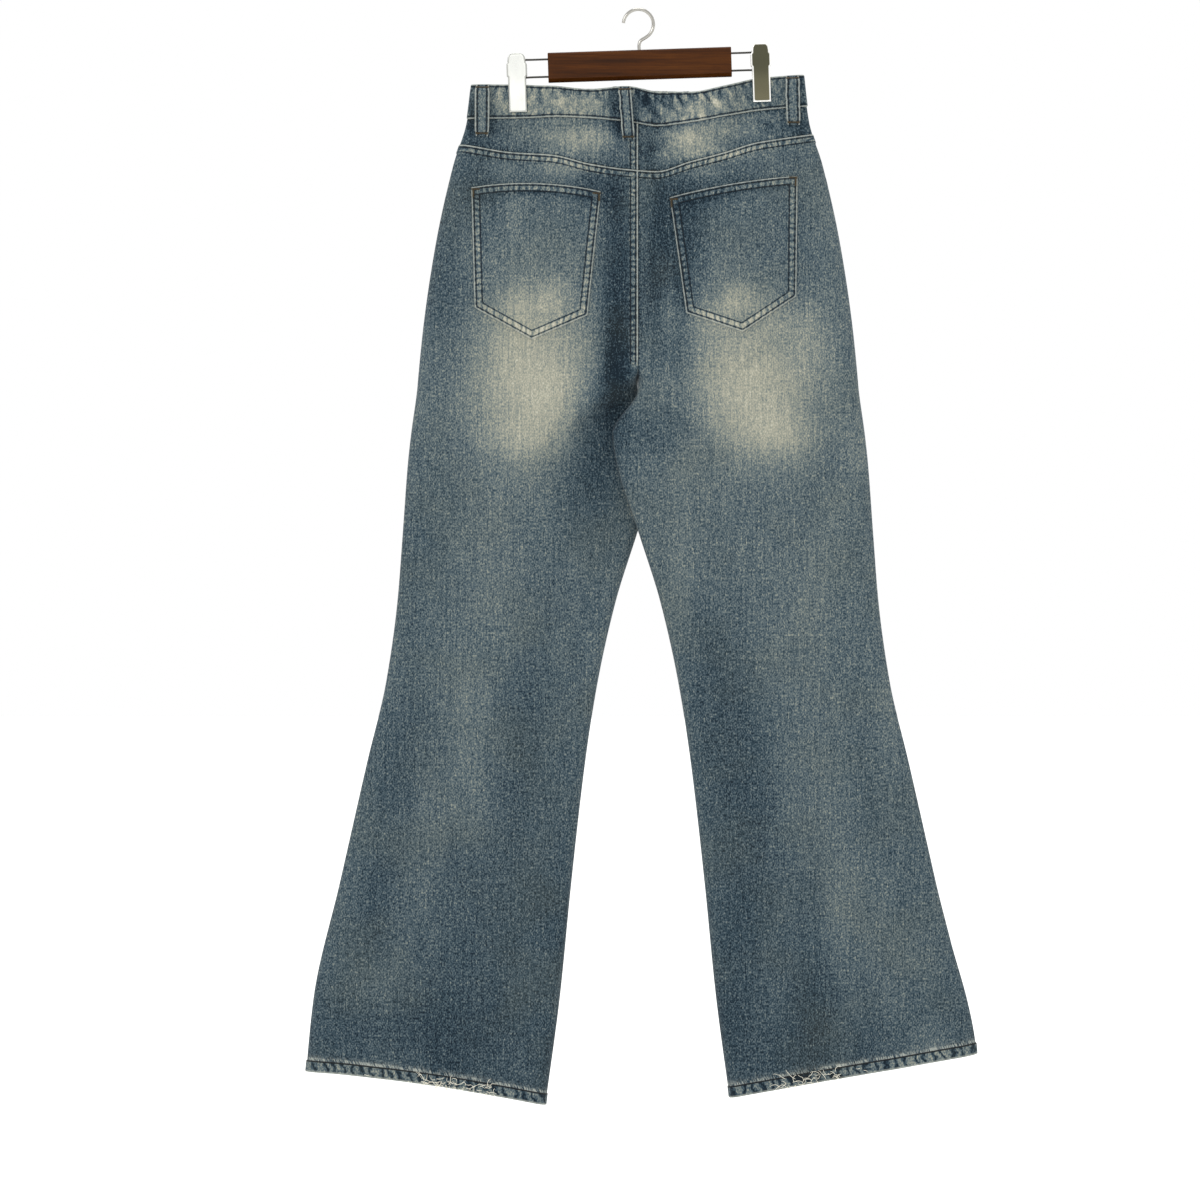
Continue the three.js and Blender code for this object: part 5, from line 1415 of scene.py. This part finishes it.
def button():
    """A shank button with a raised rim and a domed middle, on the front of the waistband."""
    low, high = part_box("waist_button")
    centre = (np.array(low) + np.array(high)) * 500
    profile = np.array([
        (0, 0), (3.1, 0), (3.1, 1.5), (7.6, 1.6), (8.3, 2.0), (8.5, 2.7), (8.2, 3.5), (7.6, 4.0),
        (6.9, 4.15), (6.2, 3.9), (5.7, 3.5), (4.6, 3.45), (3.2, 3.65), (1.6, 3.8), (0, 3.85)])
    sides = 48
    angle = np.arange(sides) * 2 * np.pi / sides
    points = np.stack([
        centre[0] + profile[:, :1] * np.cos(angle), low[1] * 1000 + profile[:, 1:] + 0 * angle,
        centre[2] + profile[:, :1] * np.sin(angle)], -1)
    points[..., 1] += (high[1] - low[1]) * 500 - 2.1
    obj = mesh_object("shank_button", points.reshape(-1, 3), ring_faces(len(profile), sides), BRASS)
    return dress(obj, "brass", "waist_button")


def paint_nodes(material, *nodes):
    """Gives a CAD node that stays a better material."""
    for name in nodes:
        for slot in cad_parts[name].material_slots:
            slot.material = material


def build_jeans():
    for side in (LEFT, RIGHT):
        for face in (BACK, FRONT):
            extras = [leg_sewing(side, face)]
            if face == BACK:
                extras.append(fraying(side))
            leg_panel(side, face, extras)
        yoke(side, [])
        waistband(side, [band_sewing(side)])
        back_pocket(side, pocket_sewing(side))
        pocket_facing(side)
    for loop in LOOPS:
        belt_loop(*loop)
    seat = Sewing()
    for row in SEAM_ROWS:
        seat.on(BACK, np.full(12, -row), np.linspace(62, 88, 12), 0.55, LEFT)
    seat.build("stitches_yoke_centre", NAVY)
    zip_tape()
    button()


def build_hanger():
    hook()
    bar()
    for side in (LEFT, RIGHT):
        rail(side)
        for face in (BACK, FRONT):
            jaw(side, face)
    paint_nodes(DARK_WIRE, "clip_left_core", "clip_right_core")
    paint_nodes(BRASS, "zip_slider")


# Camera, floor and lights. Places are in metres, and the lens and the sensor in millimetres.

CAMERA = {"place": (-0.0399, -6.31, -0.6194), "lens": 180, "sensor": 36, "clip_end": 60}
FLOOR = {"half": 30.0, "level": -1.33}
WORLD = 1.0
OVERHEAD = 1.6  # whitens the floor
JEANS_MIDDLE = (0.0, 0.0, -0.6)
# Name, place, size and power of each soft light
LIGHTS = [
    ("key", (-2.6, -3.4, 1.6), 1.4, 44),
    ("fill", (3.0, -3.2, 0.4), 2.2, 8),
    ("rear", (1.5, 4.0, 1.2), 2.5, 20),
]


def aimed(lamp, place):
    """Puts a lamp in its place, turned to the middle of the jeans."""
    lamp.location = place
    aim = np.array(JEANS_MIDDLE) - np.array(place)
    pitch = math.atan2(aim[2], math.hypot(aim[0], aim[1]))
    lamp.rotation_euler = (math.radians(90) + pitch, 0, -math.atan2(aim[0], aim[1]))


def build_stage():
    """Camera at the photo's angle, a plain pale floor and soft studio light."""
    data = bpy.data.cameras.new("camera")
    data.lens, data.sensor_width = CAMERA["lens"], CAMERA["sensor"]
    data.clip_end = CAMERA["clip_end"]
    camera = new_object("camera", data)
    camera.location = CAMERA["place"]
    camera.rotation_euler = (math.radians(90), 0, 0)
    bpy.context.scene.camera = camera
    floor_mesh = bpy.data.meshes.new("floor")
    corners = [(x * FLOOR["half"], y * FLOOR["half"], FLOOR["level"])
               for x, y in ((-1, -1), (1, -1), (1, 1), (-1, 1))]
    floor_mesh.from_pydata(corners, [], [(0, 1, 2, 3)])
    paper = Nodes("pale_paper", Roughness=0.9, Base_Color=srgb(244, 244, 242))
    floor_mesh.materials.append(paper.material)
    floor = new_object("floor", floor_mesh)
    for name, place, size, power in LIGHTS:
        light = bpy.data.lights.new(name, "AREA")
        light.shape, light.size, light.energy = "SQUARE", size, power
        aimed(new_object(name, light), place)
    sun = bpy.data.lights.new("overhead", "SUN")
    sun.energy, sun.angle = OVERHEAD, math.radians(40)
    new_object("overhead", sun)
    world = bpy.data.worlds.new("studio")
    bpy.context.scene.world = world
    world.use_nodes = True
    background = world.node_tree.nodes["Background"]
    background.inputs["Color"].default_value = (1.0, 1.0, 1.0, 1.0)
    background.inputs["Strength"].default_value = WORLD
    bpy.context.scene.view_settings.view_transform = "Standard"


build_jeans()
build_hanger()
build_stage()
